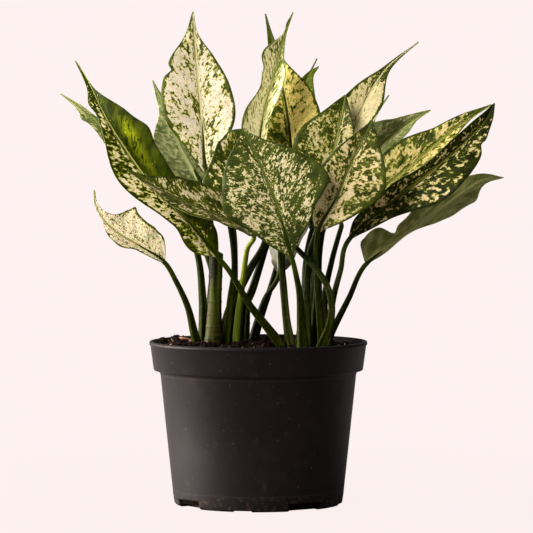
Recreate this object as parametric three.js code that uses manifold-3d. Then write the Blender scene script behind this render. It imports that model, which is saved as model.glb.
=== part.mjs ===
// A chinese evergreen in a round nursery pot. Millimetres, +Z up.
// The origin is on the pot's axis, at its underside. The front of the plant looks along -Y.

import * as THREE from 'three';
import { mergeVertices } from 'three/addons/utils/BufferGeometryUtils.js';
import Module from 'manifold-3d';

const wasm = await Module();
wasm.setup();

// Pot
const potHeight = 116;
const rimRadius = 77.5;
const bandFootRadius = 74.5;
const bandHeight = 20.5;
const bodyTopRadius = 70;
const baseRadius = 60;
const wall = 1.6;
const floorThickness = 2.4;
const baseRounding = 2.5;
const lipDepth = 2.6;
const lipProud = 0.7;
const potSides = 60;
const slotWidth = 26;
const slotHeight = 5.6;
const shallowSlotWidth = 13.5;
const shallowSlotHeight = 1.4;
const slotDepth = 9;
const slotCount = 8;
const firstSlot = -56;

// Soil
const gap = 0.3;
const soilLevel = 111.5;
const soilSides = 30;
const soilRings = [18, 36, 52, 66];
const soilTilt = 1 / 45;
const soilLump = 0.8;
const soilEdge = 1.6;

// Bark flake: its sections (place along it, half width), flatness, place, pitch, turn, and how far
// its middle stands over the soil.
const chipSections = [[-8, 1.4], [-5, 2.4], [0, 3], [5, 2.2], [8, 1.2]];
const chipFlatness = 0.5;
const chipSides = 6;
const chipPlace = [-50, 30];
const chipPitch = 0.3;
const chipTurn = 0.2;
const chipProud = 0.8;

// Canes and stalks
const plantingDepth = 14;
const caneDepth = 40;
const caneSides = 8;
const nodeSpacing = 9;
const nodeSwell = 0.5;
const nodeSlope = 2.5;
const caneShoulder = 0.6;
const caneFlareHeight = 36;
const stalkSides = 5;
const stalkStep = 17;
const stalkTopRadius = 1.7;
const stalkFootRadius = 3.2;
const sheathTaper = 1.4;
const midribEndRadius = 0.7;

// Blades
const bladeThickness = 0.9;
const bladeRings = [0, 0.05, 0.14, 0.27, 0.41, 0.55, 0.68, 0.79, 0.88, 0.94, 1];
const bladeColumns = [-1, -0.52, 0, 0.52, 1];
const widthStations = [0, 0.1, 0.3, 0.5, 0.7, 0.86, 1];
const bladeBaseHalf = 1.6;
const bladeTipHalf = 0.5;
const midribStations = [0.14, 0.34];
const curveSamples = 40;
const mergeDistance = 0.02;
const weldDistance = 1e-4;
const waveShift = 0.37;
const fullWaveHalf = 8;
const straight = 1e-6;

// Each leaf: the route of its stalk from the soil, the midrib from blade base to tip, the half
// widths of the blade left and right of the midrib at the middle width stations, the way its
// upper face looks at the base and at the tip, the angle at which each half rises from the
// midrib, the angle that it rolls through on the way to its edge, the wave of its edges (height,
// number of waves, start) and, where it isn't the usual one, the radius of the sheath at the soil.
const leafTable = {
  leaf_front: {
    stalk: [[31, -31], [30, -36, 133], [29, -42, 151], [26, -47, 167]],
    midrib: [[23, -50, 179], [14, -60, 211], [3, -66, 239], [-10, -68, 266]],
    left: [11, 25, 37, 31, 20],
    right: [9, 25.5, 40, 28.5, 12],
    face: [[0.1, -1, 0.3], [-0.1, -1, 0.3]],
    fold: [14, 14],
    roll: [-8, -8],
    wave: [1.2, 2, 0.2],
    sheath: 4.6,
  },
  leaf_right_front: {
    stalk: [[46, -19], [43, -26, 140], [41, -31, 168]],
    midrib: [[42, -35, 195], [55, -45, 220], [66, -52, 246], [79, -60, 273]],
    left: [9, 18, 19, 13, 6],
    right: [8, 19, 30, 26, 13],
    face: [[0, -1, 0.3], [0.1, -0.9, 0.5]],
    fold: [16, 16],
    roll: [-10, -10],
    wave: [1.5, 2, 0.6],
    sheath: 3.8,
  },
  leaf_left_flat: {
    stalk: [[-16, 22], [-14, 18, 136], [-11, 6, 159], [-8, -8, 181]],
    midrib: [[-4, -20, 193], [-30, -45, 207], [-65, -62, 223], [-91, -70, 239]],
    left: [12, 18, 17, 12, 5],
    right: [15, 25, 22, 14, 6],
    face: [[0, -0.5, 0.9], [0, -0.5, 0.9]],
    fold: [8, 34],
    roll: [-10, -10],
    wave: [1.5, 2, 0.5],
  },
  leaf_left_big: {
    stalk: [[17, 1], [7, -3, 125], [-6, -8, 142], [-19, -12, 164]],
    midrib: [[-29, -15, 177], [-52, -24, 205], [-76, -30, 229], [-104, -28, 270], [-120, -20, 301],
      [-129, -15, 315]],
    left: [13, 12, 18, 7, 3.5],
    right: [13, 17, 22, 17.5, 1.8],
    face: [[-0.2, -1, 0.2], [-0.2, -1, 0.2]],
    fold: [30, 30],
    roll: [-10, -10],
    wave: [2, 2, 0.1],
    sheath: 4.2,
  },
  leaf_left_low: {
    stalk: [[-44, 5], [-46, 1, 122], [-50, -3, 140], [-58, -6, 158]],
    midrib: [[-67, -10, 173], [-83, -18, 184], [-103, -26, 197], [-113, -30, 211], [-115, -32, 224]],
    left: [5, 6, 13, 2, 1],
    right: [16, 18, 21, 7, 1.6],
    face: [[-0.2, -0.8, 0.6], [-0.2, -0.8, 0.6]],
    fold: [24, 10],
    roll: [0, -5],
    wave: [1, 2, 0.3],
    sheath: 3.6,
  },
  leaf_tall_left: {
    stalk: [[-23.5, 18], [-20, 14, 144], [-17, 10, 172], [-23, 8, 209]],
    midrib: [[-37, 10, 236], [-40, 18, 269], [-44, 28, 312], [-47, 36, 351]],
    left: [9, 25, 28, 20, 7],
    right: [10, 24, 23, 13.5, 2.5],
    face: [[0, -1, 0.2], [0, -1, 0.2]],
    fold: [16, 16],
    roll: [-10, -10],
    wave: [1.2, 3, 0.2],
  },
  leaf_left_behind: {
    stalk: [[-37, 28], [-34, 25, 151], [-32, 24, 176], [-35, 26, 205]],
    midrib: [[-42, 30, 228], [-57, 42, 255], [-69, 54, 284], [-77, 60, 302]],
    left: [12, 20, 18, 10, 3],
    right: [15, 24, 17, 5.5, 3],
    face: [[-0.5, 0.75, 0.4], [-0.6, 0.7, 0.4]],
    fold: [14, 14],
    roll: [-8, -8],
    wave: [1, 2, 0.4],
  },
  leaf_left_far: {
    stalk: [[-40, 20], [-40, 16, 144], [-43.5, 14, 177], [-55, 14, 202]],
    midrib: [[-67, 15, 219], [-99, 20, 252], [-124, 22, 279], [-142, 20, 292]],
    left: [8, 12, 10, 7, 4],
    right: [8, 14, 12, 4, 1.5],
    face: [[0, -0.6, 0.8], [0, -0.6, 0.8]],
    fold: [20, 20],
    roll: [-10, -10],
    wave: [1.2, 2, 0.1],
    sheath: 3.8,
  },
  leaf_centre_small: {
    stalk: [[42, -35], [50, -42, 130], [51, -42, 147], [45, -38, 163], [29, -30, 181], [12, -20, 196]],
    midrib: [[0, -12, 208], [-13, -8, 245], [-14, -8, 258], [-9, -12, 267]],
    left: [17, 33, 31, 19, 10],
    right: [14, 24, 24, 14, 4],
    face: [[0, -1, 0.3], [0, -1, 0.3]],
    fold: [18, 18],
    roll: [-10, -10],
    wave: [1.2, 2, 0.7],
  },
  leaf_tall_centre: {
    stalk: [[-25.5, 27.5], [-19, 25, 140], [-6, 22, 166], [5, 20, 187], [4, 17, 214]],
    midrib: [[0, 15, 239], [3, 16, 273], [11, 18, 305], [18, 20, 330], [25, 22, 350]],
    left: [12, 16.5, 8, 14, 1.5],
    right: [10, 11, 18.5, 8, 1.5],
    face: [[-0.2, -1, 0.1], [-0.2, -1, 0.1]],
    fold: [30, 40],
    roll: [20, 20],
    wave: [1, 2, 0.2],
    sheath: 4.6,
  },
  leaf_olive: {
    stalk: [[-11, 42], [-9, 38, 139], [-4, 34, 152], [6, 32, 184], [15, 34, 212]],
    midrib: [[24, 35, 231], [21, 44, 277], [13, 52, 315], [5, 60, 350]],
    left: [14, 24, 20, 7, 2.5],
    right: [15, 24, 19.5, 6, 2],
    face: [[0, -1, 0.2], [0, -1, 0.2]],
    fold: [12, 12],
    roll: [-8, -8],
    wave: [1.2, 2, 0.5],
    sheath: 4.2,
  },
  leaf_tip_behind: {
    stalk: [[24, -5], [20, 0, 131], [18, 8, 155], [16, 20, 180], [18, 42, 212]],
    midrib: [[24, 62, 244], [30, 72, 284], [36, 78, 304], [44, 82, 312]],
    left: [10, 20, 20, 8, 2.5],
    right: [10, 16, 14, 9, 4],
    face: [[0, -1, 0.3], [0, -1, 0.3]],
    fold: [16, 16],
    roll: [-8, -8],
    wave: [1.2, 2, 0.5],
  },
  leaf_right_speckled: {
    stalk: [[35, -18], [34, -14, 146], [36, -10, 178]],
    midrib: [[42, -8, 197], [49, -3, 231], [57, 2, 266], [62, 6, 291]],
    left: [8, 21, 29, 26, 12.5],
    right: [6, 15, 19, 13, 7],
    face: [[0, -1, 0.3], [0, -1, 0.3]],
    fold: [14, 14],
    roll: [-8, -8],
    wave: [1.2, 2, 0.3],
    sheath: 4.4,
  },
  leaf_right_tall: {
    stalk: [[40, -9], [42, -4, 145], [43, 2, 178], [49, 8, 210]],
    midrib: [[58, 13, 238], [72, 19, 276], [90, 26, 308], [115, 34, 329]],
    left: [11, 19, 13, 3, 1],
    right: [8, 9, 12, 4, 1.3],
    face: [[0, -1, 0.1], [0, -1, 0.1]],
    fold: [18, 18],
    roll: [-10, -10],
    wave: [1, 2, 0.2],
    sheath: 4.6,
  },
  leaf_right_behind: {
    stalk: [[36, 9], [40, 12, 152], [44, 22, 185], [52, 32, 207]],
    midrib: [[63, 37, 226], [88, 48, 254], [108, 55, 270], [125, 60, 280]],
    left: [8, 16, 17, 10, 4.5],
    right: [7, 8, 9, 8, 2.5],
    face: [[0.1, -0.7, 0.7], [0.1, -0.7, 0.7]],
    fold: [20, 20],
    roll: [-8, -8],
    wave: [1, 2, 0.2],
  },
  leaf_right_pale: {
    stalk: [[48, -5], [47, -10, 146], [52, -8, 173], [59, 2, 197]],
    midrib: [[62, 5, 205], [101, 12, 234], [137, 18, 264], [167, 22, 284]],
    left: [9, 17, 19, 10, 5],
    right: [9, 15, 15, 9, 1.2],
    face: [[0, -0.8, 0.6], [0, -0.8, 0.6]],
    fold: [22, 22],
    roll: [-10, -10],
    wave: [1.5, 2, 0.5],
  },
  leaf_right_big: {
    stalk: [[48, -27], [52, -24, 143], [58, -20, 167]],
    midrib: [[65, -15, 190], [100, -20, 220], [135, -20, 248], [158, -14, 270], [167, -10, 285]],
    left: [10, 12, 9, 9, 9],
    right: [6, 14, 25, 19, 8],
    face: [[0, -0.9, 0.4], [0, -0.9, 0.4]],
    fold: [60, 16],
    roll: [-10, -10],
    wave: [2, 3, 0.2],
  },
  leaf_right_low: {
    stalk: [[49, 5], [52, -4, 122], [64, -4, 146]],
    midrib: [[77, 5, 171], [105, 10, 192], [133, 14, 212], [158, 14, 229], [175, 12, 232]],
    left: [4, 2, 8, 13.5, 4.5],
    right: [18.5, 10, 17, 15, 6],
    face: [[0, 0.8, 0.6], [0, 0.8, 0.6]],
    fold: [10, 10],
    roll: [-10, -10],
    wave: [1.5, 3, 0.2],
  },
  leaf_back_pale: {
    stalk: [[-4, 46], [-1, 46, 127], [5, 48, 144]],
    midrib: [[15, 50, 162], [13, 72, 193], [10, 88, 221], [7, 95, 243]],
    left: [10, 23, 24, 15, 5],
    right: [6, 10, 14, 12, 4],
    face: [[0, 0.7, 0.7], [0, 0.7, 0.7]],
    fold: [14, 14],
    roll: [-8, -8],
    wave: [1.2, 2, 0.4],
  },
  leaf_back_right: {
    stalk: [[29, 10], [35, 24, 158], [46, 42, 204]],
    midrib: [[58, 48, 222], [70, 56, 250], [84, 62, 275], [95, 66, 291]],
    left: [9, 20, 14, 3, 1],
    right: [9, 20, 14, 3, 1],
    face: [[0, -0.9, 0.4], [0, -0.9, 0.4]],
    fold: [16, 16],
    roll: [-8, -8],
    wave: [1, 2, 0.4],
  },
  leaf_back_tall: {
    stalk: [[22, 14], [19, 22, 140], [17, 34, 165], [18, 50, 195]],
    midrib: [[18, 64, 215], [22, 78, 255], [30, 88, 290], [43, 98, 318]],
    left: [10, 24, 24, 8, 1.5],
    right: [10, 24, 24, 8, 1.5],
    face: [[0, 1, 0.4], [0, 1, 0.4]],
    fold: [14, 14],
    roll: [-8, -8],
    wave: [1.2, 2, 0.6],
  },
  leaf_back_left: {
    stalk: [[-30, 40], [-31, 50, 150]],
    midrib: [[-42, 58, 185], [-60, 82, 212], [-78, 104, 236], [-92, 122, 250]],
    left: [10, 24, 25, 16, 5],
    right: [10, 21, 22, 15, 5],
    face: [[-0.3, 0.5, 0.8], [-0.3, 0.5, 0.8]],
    fold: [16, 16],
    roll: [-8, -8],
    wave: [1.5, 2, 0.6],
  },
  leaf_back_low_left: {
    stalk: [[-20, 58], [-18, 63, 138], [-17, 68, 166]],
    midrib: [[-18, 76, 192], [-24, 102, 213], [-30, 124, 230], [-37, 138, 237]],
    left: [10, 20, 21, 13, 4],
    right: [10, 21, 22, 13, 4],
    face: [[-0.1, 0.5, 0.8], [-0.1, 0.7, 0.6]],
    fold: [16, 16],
    roll: [-8, -8],
    wave: [1.5, 2, 0.1],
  },
  leaf_back_low: {
    stalk: [[-3, 61], [1, 62, 128], [8, 67, 148], [14, 77, 170]],
    midrib: [[16, 88, 190], [15, 112, 210], [12, 132, 226], [6, 147, 232]],
    left: [9, 18, 19, 12, 4],
    right: [9, 18, 19, 12, 4],
    face: [[0.1, 0.5, 0.8], [0.1, 0.7, 0.6]],
    fold: [16, 16],
    roll: [-8, -8],
    wave: [1.5, 2, 0.3],
  },
  leaf_back_low_right: {
    stalk: [[30, 38], [33, 50, 140], [34, 58, 168]],
    midrib: [[39, 70, 193], [50, 91, 215], [62, 111, 231], [72, 127, 237]],
    left: [8, 16, 18, 12, 4],
    right: [8, 16, 18, 12, 4],
    face: [[0.2, 0.5, 0.8], [0.2, 0.6, 0.7]],
    fold: [16, 16],
    roll: [-8, -8],
    wave: [1.5, 2, 0.3],
  },
  leaf_back_wide_right: {
    stalk: [[32, 22], [38, 40, 150], [42, 54, 180]],
    midrib: [[50, 66, 203], [74, 84, 230], [96, 98, 250], [114, 110, 260]],
    left: [10, 24, 25, 15, 5],
    right: [10, 24, 25, 15, 5],
    face: [[0.3, 0.4, 0.8], [0.3, 0.5, 0.8]],
    fold: [16, 16],
    roll: [-8, -8],
    wave: [1.5, 2, 0.7],
  },
};

// Each cane: its foot on the soil, its top, its radius, and how much wider it is at the soil.
const caneTable = {
  cane_left: { foot: [-33.5, 11], top: [-30, 13, 180], radius: 5, flare: 2 },
  cane_middle: { foot: [-11, 52], top: [-10, 54, 136], radius: 4, flare: 0 },
  cane_right: { foot: [41, 1], top: [41, 3, 130], radius: 3.8, flare: 0 },
};

const palette = {
  pot: { color: new THREE.Color(0.03, 0.028, 0.028), roughness: 0.6, metalness: 0 },
  soil: { color: new THREE.Color(0.04, 0.02, 0.012), roughness: 1, metalness: 0 },
  bark: { color: new THREE.Color(0.45, 0.22, 0.13), roughness: 0.9, metalness: 0 },
  cane: { color: new THREE.Color(0.12, 0.18, 0.05), roughness: 0.5, metalness: 0 },
  leaf: { color: new THREE.Color(0.2, 0.3, 0.08), roughness: 0.4, metalness: 0 },
};

// ---------------------------------------------------------------- solids

// A closed three.js geometry as a solid that can be joined and cut.
function toSolid(geometry) {
  const bare = geometry.clone();
  bare.deleteAttribute('normal');
  bare.deleteAttribute('uv');
  const merged = mergeVertices(bare, weldDistance);
  return new wasm.Manifold(new wasm.Mesh({
    numProp: 3,
    vertProperties: Float32Array.from(merged.attributes.position.array),
    triVerts: Uint32Array.from(merged.index.array),
  }));
}

// The largest body of a solid as a geometry, without the loose scraps that cutting leaves.
function toGeometry(solid) {
  const bodies = solid.simplify(mergeDistance).decompose();
  const largest = bodies.reduce((best, body) => (body.volume() > best.volume() ? body : best));
  const mesh = largest.getMesh();
  const geometry = new THREE.BufferGeometry();
  geometry.setAttribute('position', new THREE.BufferAttribute(mesh.vertProperties, 3));
  geometry.setIndex(new THREE.BufferAttribute(mesh.triVerts, 1));
  geometry.computeVertexNormals();
  return geometry;
}

// A geometry from a list of corner points and a list of triangles.
function fromTriangles(points, triangles) {
  const geometry = new THREE.BufferGeometry();
  const values = points.flatMap((p) => p.toArray());
  geometry.setAttribute('position', new THREE.Float32BufferAttribute(values, 3));
  geometry.setIndex(triangles.flat());
  return geometry;
}

// Rings of the same number of points, joined one to the next and closed at both ends.
function loft(rings) {
  const sides = rings[0].length;
  const points = rings.flat();
  const triangles = [];
  for (let ring = 0; ring < rings.length - 1; ring += 1) {
    for (let side = 0; side < sides; side += 1) {
      const next = (side + 1) % sides;
      const low = ring * sides;
      const high = low + sides;
      triangles.push([low + side, low + next, high + next]);
      triangles.push([low + side, high + next, high + side]);
    }
  }
  const last = (rings.length - 1) * sides;
  for (let side = 1; side < sides - 1; side += 1) {
    triangles.push([0, side + 1, side]);
    triangles.push([last, last + side, last + side + 1]);
  }
  return fromTriangles(points, triangles);
}

// ---------------------------------------------------------------- pot

const lathe = (profile, sides) => new THREE.LatheGeometry(
  profile.map(([radius, height]) => new THREE.Vector2(radius, height)), sides).rotateX(Math.PI / 2);

// The outer radius of the tapered body at a height.
const bodyRadius = (height) => THREE.MathUtils.lerp(
  baseRadius, bodyTopRadius, height / (potHeight - bandHeight));

// The outer radius of the rim band at a height.
function bandRadius(height) {
  const way = (height - potHeight + bandHeight) / bandHeight;
  return THREE.MathUtils.lerp(bandFootRadius, rimRadius - lipProud, way);
}

function makePot() {
  const bandFoot = potHeight - bandHeight;
  const profile = [
    [0, 0],
    [baseRadius - baseRounding, 0],
    [baseRadius, baseRounding],
    [bodyTopRadius, bandFoot],
    [bandFootRadius, bandFoot],
    [rimRadius - lipProud, potHeight - lipDepth],
    [rimRadius, potHeight - lipDepth],
    [rimRadius, potHeight],
    [rimRadius - wall - lipProud, potHeight],
    [bandFootRadius - wall, bandFoot + wall],
    [bodyTopRadius - wall, bandFoot - wall],
    [baseRadius - wall, floorThickness],
    [0, floorThickness],
  ];
  let pot = toSolid(lathe(profile, potSides));
  for (let slot = 0; slot < slotCount; slot += 1) {
    const deep = slot % 2 === 0;
    const width = deep ? slotWidth : shallowSlotWidth;
    const height = deep ? slotHeight : shallowSlotHeight;
    const angle = THREE.MathUtils.degToRad(firstSlot + slot * 360 / slotCount);
    const cutter = new THREE.BoxGeometry(width, 2 * slotDepth, 2 * height);
    cutter.translate(0, -baseRadius, 0);
    cutter.rotateZ(angle);
    pot = pot.subtract(toSolid(cutter));
  }
  return toGeometry(pot);
}

// ---------------------------------------------------------------- soil

// The heaped top of the soil: higher at the back and left, with low lumps.
function soilHeight(x, y) {
  const lumps = Math.sin(x / 7 + 1.3) * Math.cos(y / 8) + 0.6 * Math.sin((x + y) / 5);
  return soilLevel + soilTilt * (y - x) + soilLump * lumps;
}

function makeSoil(cutters) {
  const bandFoot = potHeight - bandHeight;
  const profile = [
    [0, floorThickness + gap],
    [baseRadius - wall - 2 * gap, floorThickness + gap],
    [bodyRadius(bandFoot - 2 * wall) - wall - 2 * gap, bandFoot - 2 * wall],
    [bodyTopRadius - wall - gap, bandFoot + wall + gap],
    [bandFootRadius - wall - gap, bandFoot + 2 * wall],
    [bandRadius(soilLevel - 2 * soilEdge) - wall - 3 * gap, soilLevel - 2 * soilEdge],
    ...soilRings.toReversed().map((radius) => [radius, soilLevel]),
    [0, soilLevel],
  ];
  const geometry = lathe(profile, soilSides);
  const place = geometry.attributes.position;
  for (let i = 0; i < place.count; i += 1) {
    if (place.getZ(i) > soilLevel - weldDistance) {
      place.setZ(i, soilHeight(place.getX(i), place.getY(i)));
    }
  }
  let soil = toSolid(geometry);
  for (const cutter of cutters) {
    soil = soil.subtract(toSolid(cutter));
  }
  return toGeometry(soil);
}

// A flake of bark, half sunk in the soil.
function makeBarkChip(grow = 0) {
  const rings = chipSections.map(([along, half]) => {
    const ring = [];
    for (let side = 0; side < chipSides; side += 1) {
      const angle = side * 2 * Math.PI / chipSides;
      const across = (half + grow) * Math.cos(angle);
      const up = (chipFlatness * half + grow) * Math.sin(angle);
      ring.push(new THREE.Vector3(along + Math.sign(along) * grow, across, up));
    }
    return ring;
  });
  const [x, y] = chipPlace;
  return loft(rings).rotateY(chipPitch).rotateZ(chipTurn).translate(x, y, soilHeight(x, y) + chipProud);
}

// ---------------------------------------------------------------- canes

// A straight cane with a swelling at each node, a wider foot and a blunt top. `grow` widens it
// into the hole that it stands in.
function makeCane({ foot, top, radius, flare }, grow = 0) {
  const start = new THREE.Vector3(foot[0], foot[1], soilLevel - caneDepth - grow);
  const end = new THREE.Vector3(...top);
  const length = end.distanceTo(start);
  const steps = [[0, 0.8]];
  for (let along = nodeSpacing; along < length - radius; along += nodeSpacing) {
    steps.push([along - nodeSlope, 1], [along, 1 + nodeSwell / radius]);
  }
  steps.push([length - caneShoulder * radius, 0.85], [length, 0.4]);
  const rings = steps.map(([along, share]) => {
    const middle = start.clone().lerp(end, along / length);
    const above = THREE.MathUtils.clamp((middle.z - soilLevel) / caneFlareHeight, 0, 1);
    const size = (radius + flare * (1 - above) ** 2) * share + grow;
    const ring = [];
    for (let side = 0; side < caneSides; side += 1) {
      const angle = side * 2 * Math.PI / caneSides;
      const x = middle.x + size * Math.cos(angle);
      const y = middle.y + size * Math.sin(angle);
      ring.push(new THREE.Vector3(x, y, middle.z));
    }
    return ring;
  });
  return loft(rings);
}

// ---------------------------------------------------------------- leaves

// A smooth value through the width stations.
function smoothValue(values, at) {
  const x = widthStations;
  const slope = (i) => {
    const low = Math.max(i - 1, 0);
    const high = Math.min(i + 1, x.length - 1);
    return (values[high] - values[low]) / (x[high] - x[low]);
  };
  let i = 0;
  while (i < x.length - 2 && at > x[i + 1]) {
    i += 1;
  }
  const span = x[i + 1] - x[i];
  const t = (at - x[i]) / span;
  const t2 = t * t;
  const t3 = t2 * t;
  return (2 * t3 - 3 * t2 + 1) * values[i] + (t3 - 2 * t2 + t) * span * slope(i)
    + (3 * t2 - 2 * t3) * values[i + 1] + (t3 - t2) * span * slope(i + 1);
}

// The curve of a leaf through its stalk and midrib, with its frames: `at(share)` counts from 0 at
// the blade's base to 1 at its tip, and goes below 0 down the stalk.
function leafRoute(leaf) {
  const [x, y] = leaf.stalk[0];
  const ground = soilHeight(x, y);
  const points = [
    [x, y, ground - plantingDepth],
    [x, y, ground],
    ...leaf.stalk.slice(1),
    ...leaf.midrib,
  ].map((p) => new THREE.Vector3(...p));
  const curve = new THREE.CatmullRomCurve3(points, false, 'catmullrom', 0.5);
  curve.arcLengthDivisions = curveSamples * (points.length - 1);
  const lengths = curve.getLengths();
  const total = lengths[lengths.length - 1];
  const base = lengths[curveSamples * (points.length - leaf.midrib.length)];
  const [faceBase, faceTip] = leaf.face.map((f) => new THREE.Vector3(...f).normalize());
  const at = (share) => {
    const u = THREE.MathUtils.clamp((base + share * (total - base)) / total, 0, 1);
    const point = curve.getPointAt(u);
    const along = curve.getTangentAt(u);
    const face = faceBase.clone().lerp(faceTip, THREE.MathUtils.clamp(share, 0, 1));
    face.addScaledVector(along, -face.dot(along)).normalize();
    return { point, along, face, side: along.clone().cross(face) };
  };
  return { at, stalkLength: base, bladeLength: total - base };
}

// The blade's middle surface at a share of its length and a share -1 to 1 of its width, and the
// way its upper face looks there.
function bladePoint(leaf, route, share, across) {
  const frame = route.at(share);
  const half = across < 0 ? 0 : 1;
  const widths = half === 0 ? leaf.left : leaf.right;
  const width = smoothValue([bladeBaseHalf, ...widths, bladeTipHalf], share);
  const fold = THREE.MathUtils.degToRad(leaf.fold[half]);
  const roll = THREE.MathUtils.degToRad(leaf.roll[half]) || straight;
  const u = Math.abs(across);
  const turned = fold + roll * u;
  const out = width * (Math.sin(turned) - Math.sin(fold)) / roll;
  let up = width * (Math.cos(fold) - Math.cos(turned)) / roll;
  const [height, count, start] = leaf.wave;
  const phase = 2 * Math.PI * (count * share + start + waveShift * half);
  up += height * Math.sin(phase) * u * u * Math.min(1, width / fullWaveHalf);
  const sign = across < 0 ? -1 : 1;
  const point = frame.point.clone().addScaledVector(frame.side, sign * out).addScaledVector(frame.face, up);
  const normal = frame.face.clone();
  if (u > 0) {
    normal.multiplyScalar(Math.cos(turned)).addScaledVector(frame.side, -sign * Math.sin(turned));
  }
  return { point, normal };
}

function makeBlade(leaf, route) {
  const columns = bladeColumns.length;
  const rows = bladeRings.length;
  const points = [];
  for (const offset of [bladeThickness / 2, -bladeThickness / 2]) {
    for (const share of bladeRings) {
      for (const across of bladeColumns) {
        const { point, normal } = bladePoint(leaf, route, share, across);
        points.push(point.addScaledVector(normal, offset));
      }
    }
  }
  const under = rows * columns;
  const triangles = [];
  const quad = (a, b, c, d) => triangles.push([a, b, c], [a, c, d]);
  const sheet = (a, b, c) => triangles.push([a, b, c], [under + a, under + c, under + b]);
  for (let row = 0; row < rows - 1; row += 1) {
    for (let column = 0; column < columns - 1; column += 1) {
      const a = row * columns + column;
      const b = a + 1;
      const c = a + columns + 1;
      const d = a + columns;
      if (column < (columns - 1) / 2) {
        sheet(a, b, c);
        sheet(a, c, d);
      } else {
        sheet(a, b, d);
        sheet(b, c, d);
      }
    }
    const left = row * columns;
    const right = left + columns - 1;
    quad(left, left + columns, under + left + columns, under + left);
    quad(right + columns, right, under + right, under + right + columns);
  }
  for (let column = 0; column < columns - 1; column += 1) {
    const tip = (rows - 1) * columns + column;
    quad(column + 1, column, under + column, under + column + 1);
    quad(tip, tip + 1, under + tip + 1, under + tip);
  }
  return fromTriangles(points, triangles);
}

// The stalk from under the soil to the blade, going on as the midrib under the blade's base. It
// widens to `footRadius` towards its foot, where it is the sheath that wraps the younger stalks.
// `grow` widens it into the hole that it stands in.
function makeStalk(route, footRadius, grow = 0) {
  const { stalkLength, bladeLength } = route;
  const steps = Math.round(stalkLength / stalkStep);
  const stations = [];
  for (let step = 0; step < steps; step += 1) {
    const way = step / steps;
    const swell = (1 - way) ** sheathTaper;
    const radius = stalkTopRadius + (footRadius - stalkTopRadius) * swell;
    stations.push([(way - 1) * stalkLength / bladeLength, radius, 0]);
  }
  stations.push([0, stalkTopRadius, bladeThickness / 3]);
  midribStations.forEach((share, i) => {
    const radius = THREE.MathUtils.lerp(stalkTopRadius, midribEndRadius, (i + 1) / midribStations.length);
    stations.push([share, radius, bladeThickness / 2]);
  });
  let { face } = route.at(0);
  const rings = stations.toReversed().map(([share, radius, drop]) => {
    const frame = route.at(share);
    if (share < 0) {
      face = face.clone().addScaledVector(frame.along, -face.dot(frame.along)).normalize();
    } else {
      face = frame.face;
    }
    const side = frame.along.clone().cross(face);
    const middle = frame.point.clone().addScaledVector(face, -drop);
    if (share === stations[0][0]) {
      middle.addScaledVector(frame.along, -grow);
    }
    const ring = [];
    for (let i = 0; i < stalkSides; i += 1) {
      const angle = i * 2 * Math.PI / stalkSides;
      ring.push(middle.clone()
        .addScaledVector(side, (radius + grow) * Math.cos(angle))
        .addScaledVector(face, -(radius + grow) * Math.sin(angle)));
    }
    return ring;
  });
  return loft(rings.toReversed());
}

// ---------------------------------------------------------------- assembly

const plant = new THREE.Group();

function place(name, geometry, finish) {
  const mesh = new THREE.Mesh(geometry, new THREE.MeshStandardMaterial(palette[finish]));
  mesh.name = name;
  plant.add(mesh);
}

const soilCutters = [];

for (const [name, cane] of Object.entries(caneTable)) {
  place(name, makeCane(cane), 'cane');
  soilCutters.push(makeCane(cane, gap));
}

for (const [name, leaf] of Object.entries(leafTable)) {
  const route = leafRoute(leaf);
  const footRadius = leaf.sheath ?? stalkFootRadius;
  const solid = toSolid(makeBlade(leaf, route)).add(toSolid(makeStalk(route, footRadius)));
  place(name, toGeometry(solid), 'leaf');
  soilCutters.push(makeStalk(route, footRadius, gap));
}

place('bark_chip', makeBarkChip(), 'bark');
soilCutters.push(makeBarkChip(gap));

place('pot', makePot(), 'pot');
place('soil', makeSoil(soilCutters), 'soil');

export default plant;
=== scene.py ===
import math

import bmesh
import bpy
import numpy as np
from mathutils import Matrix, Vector, noise


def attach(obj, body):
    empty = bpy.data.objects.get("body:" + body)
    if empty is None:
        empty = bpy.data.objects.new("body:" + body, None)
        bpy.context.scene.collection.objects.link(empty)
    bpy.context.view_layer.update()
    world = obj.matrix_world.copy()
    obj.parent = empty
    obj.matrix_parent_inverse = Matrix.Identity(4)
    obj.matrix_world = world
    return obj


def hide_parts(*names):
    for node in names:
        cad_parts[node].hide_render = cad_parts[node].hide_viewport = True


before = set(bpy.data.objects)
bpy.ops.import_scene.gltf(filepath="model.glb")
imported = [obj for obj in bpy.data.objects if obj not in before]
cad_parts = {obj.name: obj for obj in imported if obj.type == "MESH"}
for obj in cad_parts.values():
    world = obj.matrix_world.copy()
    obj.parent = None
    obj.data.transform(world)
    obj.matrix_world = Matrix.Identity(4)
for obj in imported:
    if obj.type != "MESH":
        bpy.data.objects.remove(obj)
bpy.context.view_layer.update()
scene = bpy.context.scene
mm = 0.001
print("frame:", len(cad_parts), "solids")


# Node trees: arithmetic on a Value adds Math nodes, and Maker.add makes any other node.
def operator(operation, swapped=False):
    def method(self, other):
        pair = (other, self) if swapped else (self, other)
        return self.maker.math(operation, *pair)
    return method


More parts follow.
